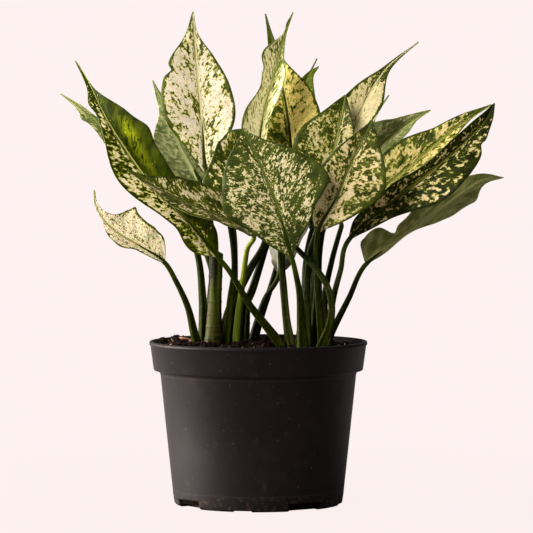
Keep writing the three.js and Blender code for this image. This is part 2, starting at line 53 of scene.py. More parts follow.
class Value:
    __add__ = operator("ADD")
    __radd__ = operator("ADD", True)
    __sub__ = operator("SUBTRACT")
    __rsub__ = operator("SUBTRACT", True)
    __mul__ = operator("MULTIPLY")
    __rmul__ = operator("MULTIPLY", True)
    __truediv__ = operator("DIVIDE")
    __pow__ = operator("POWER")

    def __init__(self, maker, socket):
        self.maker = maker
        self.socket = socket

    def __abs__(self):
        return self.maker.math("ABSOLUTE", self)

    def other(self, name):
        return Value(self.maker, self.socket.node.outputs[name])

    def bell(self, width):
        # 1 where the value is 0, falling to nothing past the width
        return self.maker.math("EXPONENT", self * self * (-1 / width ** 2))

    def ease(self, low, high):
        settings = {"interpolation_type": "SMOOTHSTEP"}
        return self.maker.add("ShaderNodeMapRange", {0: self, 1: low, 2: high}, settings)


class Maker:
    def __init__(self, tree):
        self.tree = tree

    def add(self, kind, sockets=None, settings=None, out=0):
        node = self.tree.nodes.new(kind)
        for name, value in (settings or {}).items():
            setattr(node, name, value)
        for key, value in (sockets or {}).items():
            if isinstance(value, Value):
                self.tree.links.new(value.socket, node.inputs[key])
            else:
                node.inputs[key].default_value = value
        return Value(self, node.outputs[out] if node.outputs else None)

    def math(self, operation, *values):
        return self.add("ShaderNodeMath", dict(enumerate(values)), {"operation": operation})

    def mix(self, factor, *colours):
        first, second = (c if isinstance(c, Value) else paint(*c) for c in colours)
        return self.add("ShaderNodeMix", {0: factor, 6: first, 7: second}, {"data_type": "RGBA"}, 2)

    def coats(self, colour, *layers):
        # each layer is how much of it covers what is below, and its colour
        for amount, layer in layers:
            colour = self.mix(amount, colour, layer)
        return colour

    def join(self, x, y, z):
        return self.add("ShaderNodeCombineXYZ", {0: x, 1: y, 2: z})

    def split(self, vector):
        x = self.add("ShaderNodeSeparateXYZ", {0: vector})
        return x, x.other("Y"), x.other("Z")

    def here(self):
        return self.add("ShaderNodeTexCoord", out="Object")

    def cloud(self, vector, detail=2, scale=1, roughness=0.5):
        return self.add("ShaderNodeTexNoise", {
            "Vector": vector, "Scale": scale, "Detail": detail, "Roughness": roughness})


def paint(red, green, blue):
    # a colour as seen on a screen, 0 to 255, as the light that it stands for
    light = [((c / 255 + 0.055) / 1.055) ** 2.4 if c > 10 else c / 3295 for c in (red, green, blue)]
    return (*light, 1)


def emptyTree(owner):
    owner.use_nodes = True
    owner.node_tree.nodes.clear()
    return Maker(owner.node_tree)


class Finish(Maker):
    # a material's own maker; `done` gives it its surface and hands the material over
    def __init__(self, name):
        self.material = bpy.data.materials.new(name)
        self.tree = emptyTree(self.material).tree

    def done(self, colour, roughness, shine, bump, more=None):
        # bump is its strength, its depth in millimetres and its height map
        strength, depth, height = bump
        normal = self.add("ShaderNodeBump", {"Strength": strength, "Distance": depth * mm, "Height": height})
        shader = self.add("ShaderNodeBsdfPrincipled", {
            "Base Color": colour, "Roughness": roughness, "Specular IOR Level": shine, "Normal": normal,
            **(more or {})})
        self.add("ShaderNodeOutputMaterial", {"Surface": shader})
        return self.material


def newObject(name, mesh):
    piece = bpy.data.objects.new(name, mesh)
    scene.collection.objects.link(piece)
    return piece


def meshFrom(name, points, faces, looks, which=None):
    # points in millimetres; `which` gives each face its material
    mesh = bpy.data.meshes.new(name)
    mesh.from_pydata((np.asarray(points) * mm).tolist(), [], [list(map(int, f)) for f in faces])
    for look in looks:
        mesh.materials.append(look)
    if which is not None:
        mesh.polygons.foreach_set("material_index", np.asarray(which, dtype=np.int32))
    mesh.polygons.foreach_set("use_smooth", [True] * len(mesh.polygons))
    mesh.update()
    return mesh


def ringFaces(rings, sides, first=0):
    # the points of neighbouring rings by number, and the faces between them
    index = first + np.arange(rings * sides).reshape(rings, sides)
    a, b = index[:-1], index[1:]
    return index, np.stack([a, b, np.roll(b, -1, 1), np.roll(a, -1, 1)], -1).reshape(-1, 4)


def lineFrom(name, points):
    # a bare chain of points in millimetres, to grow a shape along
    mesh = bpy.data.meshes.new(name)
    edges = [(i, i + 1) for i in range(len(points) - 1)]
    mesh.from_pydata([tuple(c * mm for c in p) for p in points], edges, [])
    return mesh


def lumpShape(name, subdivisions, bend):
    # a round lump with each point moved by `bend`
    shape = bmesh.new()
    bmesh.ops.create_icosphere(shape, subdivisions=subdivisions, radius=1)
    for vertex in shape.verts:
        vertex.co = bend(vertex.co)
    mesh = bpy.data.meshes.new(name)
    shape.to_mesh(mesh)
    shape.free()
    return mesh


def dress(piece, node):
    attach(piece, "root")
    if node:
        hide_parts(node)


def pointAt(thing, place, aim):
    thing.location = Vector(place) * mm
    thing.rotation_euler = (Vector(aim) * mm - thing.location).to_track_quat("-Z", "Y").to_euler()


# Camera, level with the leaves and looking a little down at the pot
view = {"place": (5.8, -2500, 280), "aim": (5.8, 0, 169), "lens": 237.7, "sensor": 36, "farthest": 30}


def makeCamera():
    data = bpy.data.cameras.new("camera")
    data.lens = view["lens"]
    data.sensor_width = view["sensor"]
    data.clip_end = view["farthest"]
    camera = newObject("camera", data)
    pointAt(camera, view["place"], view["aim"])
    scene.camera = camera


makeCamera()

# Studio: a pale floor and backdrop; each light has a place, a size, a power and a tint
studio = {
    "backdrop": (253, 242, 241), "ambient": 0.13,
    "floor": (130, 126, 124), "floorSize": 24000, "floorGlow": 0.97, "shadowReach": (0.16, 0.5),
    "aim": (0, 0, 200),
    "lights": {
        "keyLight": ((-1100, -1900, 1300), 1000, 74, (1, 0.98, 0.95)),
        "leftLight": ((-1700, 500, 800), 1300, 105, (1, 0.96, 0.95)),
        "lowLight": ((-660, 40, 245), 470, 14.8, (1, 0.93, 0.92)),
        "rightLight": ((1600, -500, 1100), 900, 2, (0.98, 0.98, 1)),
        "backLight": ((500, 1800, 1300), 1200, 20, (1, 0.99, 0.97)),
    },
}


def makeStudio():
    scene.view_settings.view_transform = "Standard"
    backdrop = paint(*studio["backdrop"])
    world = bpy.data.worlds.new("studio")
    scene.world = world
    maker = emptyTree(world)
    seen = maker.add("ShaderNodeLightPath", out="Is Camera Ray")
    soft = maker.add("ShaderNodeBackground", {0: backdrop, 1: studio["ambient"]})
    plain = maker.add("ShaderNodeBackground", {0: backdrop, 1: 1})
    both = maker.add("ShaderNodeMixShader", {0: seen, 1: soft, 2: plain})
    maker.add("ShaderNodeOutputWorld", {"Surface": both})

    # the floor shows as backdrop to the camera, and a little darker round the pot
    maker = Finish("paleFloor")
    seen = maker.add("ShaderNodeLightPath", out="Is Camera Ray")
    matt = maker.add("ShaderNodeBsdfDiffuse", {0: paint(*studio["floor"])})
    glow = maker.add("ShaderNodeEmission", {0: backdrop, 1: 1})
    x, y, z = maker.split(maker.here())
    away = (x * x + y * y) ** 0.5
    plain = studio["floorGlow"] + (1 - studio["floorGlow"]) * away.ease(*studio["shadowReach"])
    lit = maker.add("ShaderNodeMixShader", {0: seen * plain, 1: matt, 2: glow})
    maker.add("ShaderNodeOutputMaterial", {"Surface": lit})
    half = studio["floorSize"] / 2
    corners = [(-half, -half, 0), (half, -half, 0), (half, half, 0), (-half, half, 0)]
    floor = newObject("floor", meshFrom("floor", corners, [(0, 1, 2, 3)], [maker.material]))

    for name, (place, size, power, tint) in studio["lights"].items():
        data = bpy.data.lights.new(name, "AREA")
        data.shape = "DISK"
        data.size = size * mm
        data.energy = power
        data.color = tint
        pointAt(newObject(name, data), place, studio["aim"])


makeStudio()
print("studio: camera, floor and lights")


# Pot: a thin matt nursery pot with a rim band, a lip and drainage slots round its foot
pot = {
    "height": 116, "rimRadius": 77.5, "bandFootRadius": 74.5, "bandHeight": 20.5, "lipDepth": 2.6,
    "lipProud": 0.7, "bodyTopRadius": 70, "baseRadius": 60, "wall": 1.6, "floor": 2.4, "footRounding": 2.5,
    "footSteps": ((7, 0), (11, 0.05), (14, 0.05), (40, 0)), "sides": 160,
    "slotCount": 8, "firstSlot": -56, "slotDepth": 9, "slotWidth": 26, "slotHeight": 5.6,
    "shallowWidth": 13.5, "shallowHeight": 1.4,
}
bandFoot = pot["height"] - pot["bandHeight"]


def potProfile():
    # the wall's outline as radius and height, from the axis under the floor round to the axis above it
    rim, band, body, foot = (pot[k + "Radius"] for k in ("rim", "bandFoot", "bodyTop", "base"))
    top, wall, turn = pot["height"], pot["wall"], pot["footRounding"]
    lip = top - pot["lipDepth"]
    below = rim - pot["lipProud"]
    inner = rim - wall - pot["lipProud"]
    outline = [(0, 0)]
    for step in range(5):
        angle = step * math.pi / 8
        outline.append((foot - turn + turn * math.sin(angle), turn - turn * math.cos(angle)))
    for height, inward in pot["footSteps"]:
        outline.append((foot + (body - foot) * (height / bandFoot) - inward, height))
    # a slight bead, the band, the lip and then the inside; the smallest steps soften the edges
    return outline + [
        (body - 0.35, bandFoot - 3.2), (body, bandFoot - 2.6), (body + 0.05, bandFoot - 0.3),
        (body + 0.5, bandFoot), (band - 0.5, bandFoot), (band, bandFoot + 0.5),
        (below, lip - 0.2), (below + 0.25, lip), (rim - 0.25, lip), (rim, lip + 0.3), (rim, top - 0.5),
        (rim - 0.4, top), (inner + 0.3, top), (inner, top - 0.4), (band - wall, bandFoot + wall),
        (body - wall, bandFoot - wall), (foot - wall, pot["floor"]), (0, pot["floor"])]


def newTree(name, inputs):
    # `inputs` names the kind of each value that the tree takes; `given` then finds one by its name
    tree = bpy.data.node_groups.new(name, "GeometryNodeTree")
    tree.interface.new_socket("Geometry", in_out="INPUT", socket_type="NodeSocketGeometry")
    for kind, labels in inputs.items():
        for label in labels:
            tree.interface.new_socket(label, in_out="INPUT", socket_type="NodeSocket" + kind)
    tree.interface.new_socket("Finish", in_out="INPUT", socket_type="NodeSocketMaterial")
    tree.interface.new_socket("Geometry", in_out="OUTPUT", socket_type="NodeSocketGeometry")
    maker = Maker(tree)
    return maker, maker.add("NodeGroupInput").other


def endTree(maker, geometry, look):
    whole = maker.add("GeometryNodeRealizeInstances", {0: geometry})
    dressed = maker.add("GeometryNodeSetMaterial", {"Geometry": whole, "Material": look})
    maker.add("NodeGroupOutput", {0: dressed})
    return maker.tree


def grow(piece, tree, values):
    # runs a tree on the piece with these values and leaves a plain mesh
    modifier = piece.modifiers.new("grow", "NODES")
    modifier.node_group = tree
    for item in tree.interface.items_tree:
        if item.name in values and item.in_out == "INPUT":
            modifier[item.identifier] = values[item.name]
    depsgraph = bpy.context.evaluated_depsgraph_get()
    mesh = bpy.data.meshes.new_from_object(piece.evaluated_get(depsgraph))
    piece.modifiers.remove(modifier)
    piece.data = mesh


def potTree():
    maker, given = newTree("nurseryPot", {
        "Int": ["Sides", "Slots"], "Float": ["First Slot", "Foot Radius"],
        "Vector": ["Slot Size", "Shallow Scale"]})
    # the wall is the outline turned round the axis; a profile's Y points down there
    ring = maker.add("GeometryNodeCurvePrimitiveCircle", {"Resolution": given("Sides"), "Radius": 1e-6})
    profile = maker.add("GeometryNodeMeshToCurve", {0: given("Geometry")})
    wall = maker.add("GeometryNodeCurveToMesh", {"Curve": ring, "Profile Curve": profile})
    wall = maker.add("GeometryNodeMergeByDistance", {0: wall, "Distance": 5e-6})
    # one cutter on each point of a ring, every other one shallow
    circle = maker.add("GeometryNodeMeshCircle", {"Vertices": given("Slots"), "Radius": given("Foot Radius")})
    start = maker.join(0, 0, given("First Slot"))
    circle = maker.add("GeometryNodeTransform", {0: circle, "Rotation": start})
    x, y, z = maker.split(maker.add("GeometryNodeInputPosition"))
    odd = maker.math("MODULO", maker.add("GeometryNodeInputIndex"), 2)
    shallow = maker.add(
        "ShaderNodeMix", {0: odd, 4: (1, 1, 1), 5: given("Shallow Scale")}, {"data_type": "VECTOR"}, 1)
    slots = maker.add("GeometryNodeInstanceOnPoints", {
        "Points": circle, "Instance": maker.add("GeometryNodeMeshCube", {"Size": given("Slot Size")}),
        "Rotation": maker.join(0, 0, maker.math("ARCTAN2", y, x)), "Scale": shallow})
    slots = maker.add("GeometryNodeRealizeInstances", {0: slots})
    how = {"operation": "DIFFERENCE", "solver": "EXACT"}
    cut = maker.add("GeometryNodeMeshBoolean", {0: wall, 1: slots}, how)
    return endTree(maker, cut, given("Finish"))


# Where the pot is worn, in metres up from its foot; the stained face is the inside of the band
potWear = {
    "rings": (0.0925, 0.0108), "ringWidth": 0.0004, "wornFoot": (0.004, 0.013),
    "rubbedFoot": (0.006, 0.07), "lip": (0.1146, 0.1156), "stainFrom": (0.104, 0.106),
    "stainSlope": 0.146, "stainReach": (0.0593, 0.0598),
}


def potMaterial():
    maker = Finish("mattBlackPlastic")
    wear = potWear
    place = maker.here()
    x, y, z = maker.split(place)
    turn = maker.math("ARCTAN2", y, x)
    # dust in soft clouds, pale scuffs as short slanting strokes, faint rings under the band and near the foot
    dust = maker.cloud(place, 4, 38, 0.62).ease(0.5, 0.78)
    grain = maker.cloud(place, 2, 900, 0.6)
    strokes = maker.cloud(maker.join(turn * 60 + z * 450, z * 220 - turn * 7, 3), 2, 1, 0.6).ease(0.69, 0.78)
    smears = maker.cloud(maker.join(turn * 9, z * 70, 8), 3, 1, 0.6).ease(0.6, 0.72)
    bandRing, footRing = ((z - height).bell(wear["ringWidth"]) for height in wear["rings"])
    rings = bandRing + footRing * 0.6
    worn = maker.cloud(maker.join(turn * 14, z * 260, 5), 3, 1, 0.7).ease(0.52, 0.66)
    worn = worn * (1 - z.ease(*wear["wornFoot"]))
    # dull soil-stained inside of the band, and a worn lip
    reach = (x * x + y * y) ** 0.5
    inside = 1 - (reach - z * wear["stainSlope"]).ease(*wear["stainReach"])
    inside = inside * z.ease(*wear["stainFrom"])
    dull = maker.math("MAXIMUM", z.ease(*wear["lip"]), inside)
    rubbed = 1 - z.ease(*wear["rubbedFoot"])
    colour = maker.coats(
        (10, 6, 6), (dust * 0.5, (26, 18, 17)), (smears * 0.12, (70, 52, 42)),
        (strokes * 0.4, (138, 124, 112)), (rings * 0.14, (80, 72, 68)), (worn * 0.16, (120, 92, 76)),
        (inside * 0.75, (12, 6, 4)))
    roughness = 0.5 + rubbed * 0.12 + dust * 0.14 + strokes * 0.1 + dull * 0.45
    height = grain * 0.4 + dust * 0.3 - strokes * 0.4 - rings * 0.25
    tint = {"Specular Tint": (1, 0.88, 0.86, 1)}
    return maker.done(colour, roughness, 0.16, (0.35, 0.25, height), tint)


def makePot():
    # an outline's Y is turned over, because the tree's profile points down
    piece = newObject("nurseryPot", lineFrom("nurseryPot", [(x, -y, 0) for x, y in potProfile()]))
    slot = (2 * pot["slotDepth"] * mm, pot["slotWidth"] * mm, 2 * pot["slotHeight"] * mm)
    shallow = (1, pot["shallowWidth"] / pot["slotWidth"], pot["shallowHeight"] / pot["slotHeight"])
    grow(piece, potTree(), {
        "Sides": pot["sides"], "Slots": pot["slotCount"], "First Slot": math.radians(pot["firstSlot"] - 90),
        "Foot Radius": pot["baseRadius"] * mm, "Slot Size": slot, "Shallow Scale": shallow,
        "Finish": potMaterial()})
    dress(piece, "pot")


makePot()
print("pot: done")


# Soil: peat heaped in the pot, with crumbs, fibres and bark on it
soil = {
    "level": 111.5, "tilt": 1 / 45, "lump": 0.8, "sides": 150, "rings": 46, "clod": 1.5, "clodSize": 5.5,
    "grit": 0.7, "gritSize": 2.1, "sunk": 0.3, "gap": 0.3, "bottom": 2.7, "edgeDepth": 7, "edgeGap": 0.6,
    "bandSlope": 2.3 / 18, "levelEdge": 3, "belowRim": 0.8, "shoulder": (3.2, 1.6),
}


def soilHeight(x, y):
    lumps = np.sin(x / 7 + 1.3) * np.cos(y / 8) + 0.6 * np.sin((x + y) / 5)
    return soil["level"] + soil["tilt"] * (y - x) + soil["lump"] * lumps


def cloddyHeight(x, y):
    clod = noise.noise(Vector((x, y, 4)) / soil["clodSize"])
    grit = noise.noise(Vector((x, y, 9)) / soil["gritSize"])
    return float(soilHeight(x, y)) + soil["clod"] * max(clod, -0.2) + soil["grit"] * grit - soil["sunk"]


def soilMaterial():
    maker = Finish("peat")
    place = maker.here()
    crumb = maker.cloud(place, 4, 420, 0.65)
    patch = maker.cloud(place, 2, 90).ease(0.4, 0.7)
    fleck = maker.cloud(place, 1, 1300).ease(0.68, 0.75)
    # the peat is near black, partly its own dark colour and partly painted shade from the leaves above
    colour = maker.coats(
        (5, 1, 0), (crumb.ease(0.35, 0.68), (25, 10, 6)), (patch * 0.5, (16, 8, 5)),
        (fleck * 0.5, (150, 110, 84)))
    return maker.done(colour, 0.95, 0.04, (0.9, 1.2, crumb))


def makeSoil():
    wall = pot["wall"] + soil["gap"]
    low = soil["level"] - soil["edgeDepth"]
    edge = pot["bandFootRadius"] + (low - bandFoot) * soil["bandSlope"] - wall - soil["edgeGap"]
    rings = [(edge * (i + 1) / soil["rings"], None) for i in range(soil["rings"])]
    # the plug narrows at a shoulder just above the band's foot, then down to the pot's floor
    shoulderTop, shoulderFoot = (bandFoot + rise for rise in soil["shoulder"])
    rings += [(edge, low), (pot["bandFootRadius"] - wall, shoulderTop),
              (pot["bodyTopRadius"] - wall, shoulderFoot), (pot["baseRadius"] - wall, soil["bottom"])]
    points = [(0, 0, cloddyHeight(0, 0))]
    sides = soil["sides"]
    for radius, height in rings:
        for side in range(sides):
            angle = side * 2 * math.pi / sides
            x = radius * math.cos(angle)
            y = radius * math.sin(angle)
            z = cloddyHeight(x, y) if height is None else height
            if height is None and radius > edge - soil["levelEdge"]:
                z = min(z, pot["height"] - soil["belowRim"])
            points.append((x, y, z))
    index, skin = ringFaces(len(rings), sides, 1)
    middle = [(0, a, b) for a, b in zip(index[0], np.roll(index[0], -1))]
    faces = [*middle, *skin, index[-1][::-1]]
    piece = newObject("pottingSoil", meshFrom("pottingSoil", points, faces, [soilMaterial()]))
    dress(piece, "soil")
    return piece


# each scatter: pieces per square metre, smallest and largest radius, flatness, lift, knobbliness,
# length of a lump against its width, dark and light colour
crumbs = {
    # the peat crumbs and lumps are darkened too, partly as painted shade from the leaves above
    "peatCrumbs": (70000, 0.7, 3.0, 0.8, 0.2, 0.9, 1, (4, 2, 1), (18, 8, 5)),
    "peatLumps": (9000, 1.6, 5.0, 0.75, 0.4, 1.0, 1, (6, 2, 1), (26, 12, 8)),
    "barkBits": (1500, 0.8, 3.0, 0.35, 0.9, 0.8, 1, (70, 38, 24), (114, 72, 48)),
    "fibres": (4200, 0.35, 0.9, 0.5, 1.0, 0.7, 7, (60, 36, 25), (150, 116, 86)),
}
crumbReach = 75.2  # none lies farther from the axis, so all stay inside the rim


def crumbTree():
    maker, given = newTree("scatteredCrumbs", {
        "Object": ["Crumb"], "Float": ["Density", "Smallest", "Largest", "Flat", "Lift"], "Int": ["Seed"]})

    def draw(low, high, seed):
        sockets = {2: low, 3: high, "Seed": seed}
        return maker.add("FunctionNodeRandomValue", sockets, {"data_type": "FLOAT"}, 1)

    x, y, z = maker.split(maker.add("GeometryNodeInputNormal"))
    points = maker.add("GeometryNodeDistributePointsOnFaces", {
        "Mesh": given("Geometry"), "Selection": maker.math("GREATER_THAN", z, 0.35),
        "Density": given("Density"), "Seed": given("Seed")})
    points = maker.add("GeometryNodeSetPosition", {0: points, "Offset": maker.join(0, 0, given("Lift"))})
    turn = maker.add("FunctionNodeRandomValue", {
        0: (-0.7, -0.7, 0), 1: (0.7, 0.7, math.tau), "Seed": given("Seed")}, {"data_type": "FLOAT_VECTOR"})
    size = draw(0, 1, given("Seed") + 1)
    size = given("Smallest") + (given("Largest") - given("Smallest")) * size ** 3
    long = draw(0.7, 1.4, given("Seed") + 2)
    lump = maker.add("GeometryNodeObjectInfo", {0: given("Crumb")}, out="Geometry")
    lumps = maker.add("GeometryNodeInstanceOnPoints", {
        "Points": points, "Instance": lump, "Rotation": turn,
        "Scale": maker.join(size * long, size, size * given("Flat"))})
    return endTree(maker, lumps, given("Finish"))


def crumbMaterial(name, dark, light):
    maker = Finish(name)
    place = maker.here()
    colour = maker.mix(maker.cloud(place, 2, 240).ease(0.35, 0.7), dark, light)
    return maker.done(colour, 0.95, 0.05, (0.8, 0.6, maker.cloud(place, 2, 1500)))


def makeCrumbs(ground):
    tree = crumbTree()
    for seed, (name, row) in enumerate(crumbs.items()):
        density, smallest, largest, flat, lift, rough, stretch, dark, light = row

        def knobbly(point):
            return point * (1 + rough * noise.noise(point * 1.4 + Vector((seed, 0, 0))))

        lump = newObject("lump", lumpShape("lump", 2 if largest > 2 else 1, knobbly))
        for vertex in lump.data.vertices:
            vertex.co.x *= stretch
        piece = newObject(name, ground.data.copy())
        grow(piece, tree, {
            "Crumb": lump, "Density": float(density), "Smallest": smallest * mm, "Largest": largest * mm,
            "Flat": flat, "Lift": lift * mm, "Seed": seed + 3, "Finish": crumbMaterial(name, dark, light)})
        bpy.data.objects.remove(lump)
        for vertex in piece.data.vertices:
            radius = math.hypot(vertex.co.x, vertex.co.y)
            if radius > crumbReach * mm:
                vertex.co.x *= crumbReach * mm / radius
                vertex.co.y *= crumbReach * mm / radius
        dress(piece, None)


makeCrumbs(makeSoil())
print("soil: done")

# Bark: one pale flake that lies on the soil
bark = {"place": (-50, 30), "pitch": 0.3, "turn": 0.2, "proud": 0.8, "length": 16, "half": 3, "flat": 0.5}


def barkMaterial():
    maker = Finish("orangeBark")
    x, y, z = maker.split(maker.here())
    grain = maker.cloud(maker.join(x * 160, y * 900, z * 900), 3)
    colour = maker.mix(grain.ease(0.35, 0.65), (118, 66, 40), (186, 134, 96))
    return maker.done(colour, 0.9, 0.5, (0.7, 0.5, grain))


def rotated(x, y, angle):
    return x * math.cos(angle) - y * math.sin(angle), x * math.sin(angle) + y * math.cos(angle)


def barkPoint(point):
    # a round lump's point, drawn out to a ridged flake, pitched and turned on the soil
    ridge = 0.14 * noise.noise(Vector((point.x * 1.2, point.y * 5, point.z * 5)))
    chunk = 1 + ridge + 0.12 * noise.noise(point * 2.3)
    along = bark["length"] / 2 * math.copysign(abs(point.x) ** 0.8, point.x)
    along, up = rotated(along, bark["flat"] * bark["half"] * chunk * point.z, -bark["pitch"])
    x, y = rotated(along, bark["half"] * chunk * point.y, bark["turn"])
    x0, y0 = bark["place"]
    return Vector((x0 + x, y0 + y, float(soilHeight(x0, y0)) + bark["proud"] + up)) * mm


def makeBark():
    mesh = lumpShape("barkFlake", 4, barkPoint)
    mesh.materials.append(barkMaterial())
    mesh.polygons.foreach_set("use_smooth", [True] * len(mesh.polygons))
    dress(newObject("barkFlake", mesh), "bark_chip")


makeBark()
print("bark: done")


# Canes: old stems with a swollen leaf scar at each node
canes = {
    "cane_left": {"foot": (-33.5, 11), "top": (-30, 13, 180), "radius": 5, "flare": 2},
    "cane_middle": {"foot": (-11, 52), "top": (-10, 54, 136), "radius": 4, "flare": 0},
    "cane_right": {"foot": (41, 1), "top": (41, 3, 130), "radius": 3.8, "flare": 0},
}
caneShape = {
    "depth": 40, "spacing": 9, "swell": 0.28, "scar": 0.7, "sides": 24, "step": 0.6, "flareHeight": 36,
}


def caneTree():
    maker, given = newTree("ringedCane", {"Int": ["Sides"], "Float": [
        "Radius", "Spacing", "Swell", "Scar", "Step", "Flare", "Depth", "Flare Height"]})
    curve = maker.add("GeometryNodeMeshToCurve", {0: given("Geometry")})
    step = {"Curve": curve, "Length": given("Step")}
    curve = maker.add("GeometryNodeResampleCurve", step, {"mode": "LENGTH"})
    share = maker.add("GeometryNodeSplineParameter")
    length = share.other("Length")
    # `near` is how close each point is to a scar, `above` how far it is up the flared foot
    near = (maker.math("PINGPONG", length, given("Spacing") / 2) / given("Scar")).bell(1)
    end = 1 - share.ease(0.975, 1) * 0.75
    wander = maker.cloud(maker.join(length * 40, 0, given("Radius") * 900), 2)
    above = (length - given("Depth")) / given("Flare Height")
    above = maker.math("MINIMUM", maker.math("MAXIMUM", above, 0), 1)
    radius = given("Radius") * (0.9 + wander * 0.2) + given("Swell") * near
    radius = radius + given("Flare") * (1 - above) * (1 - above)
    circle = maker.add("GeometryNodeCurvePrimitiveCircle", {"Resolution": given("Sides"), "Radius": 1})
    skin = maker.add("GeometryNodeCurveToMesh", {
        "Curve": curve, "Profile Curve": circle, "Scale": radius * end, "Fill Caps": True})
    skin = maker.add("GeometryNodeSetShadeSmooth", {0: skin})
    return endTree(maker, skin, given("Finish"))


def caneMaterial():
    maker = Finish("caneSkin")
    x, y, z = maker.split(maker.here())
    streak = maker.cloud(maker.join(x * 230, y * 230, z * 14), 1)
    fine = maker.cloud(maker.join(x * 900, y * 900, z * 40), 2)
    foot = 1 - z.ease(0.12, 0.178)
    ring = maker.cloud(maker.join(x * 30, y * 30, z * 420), 2).ease(0.45, 0.65) * foot
    colour = maker.coats(
        (10, 14, 0), (streak.ease(0.42, 0.6), (62, 72, 8)), (fine.ease(0.5, 0.7) * 0.3, (130, 132, 60)),
        (foot * 0.7, (22, 18, 2)), (ring * 0.4, (66, 54, 22)))
    return maker.done(colour, 0.5, 0.05, (0.4, 0.4, streak + fine * 0.4))


def pieceName(node):
    return node.replace("_", " ").title().replace(" ", "")


def makeCanes():
    tree = caneTree()
    look = caneMaterial()
    shared = ("depth", "spacing", "swell", "scar", "step")
    sizes = {name.capitalize(): caneShape[name] * mm for name in shared}
    for name, cane in canes.items():
        foot = (*cane["foot"], soil["level"] - caneShape["depth"])
        piece = newObject(pieceName(name), lineFrom(name, [foot, cane["top"]]))
        grow(piece, tree, {
            **sizes, "Radius": cane["radius"] * mm, "Flare": cane["flare"] * mm, "Sides": caneShape["sides"],
            "Flare Height": caneShape["flareHeight"] * mm, "Finish": look})
        dress(piece, name)


makeCanes()
print("canes: done")


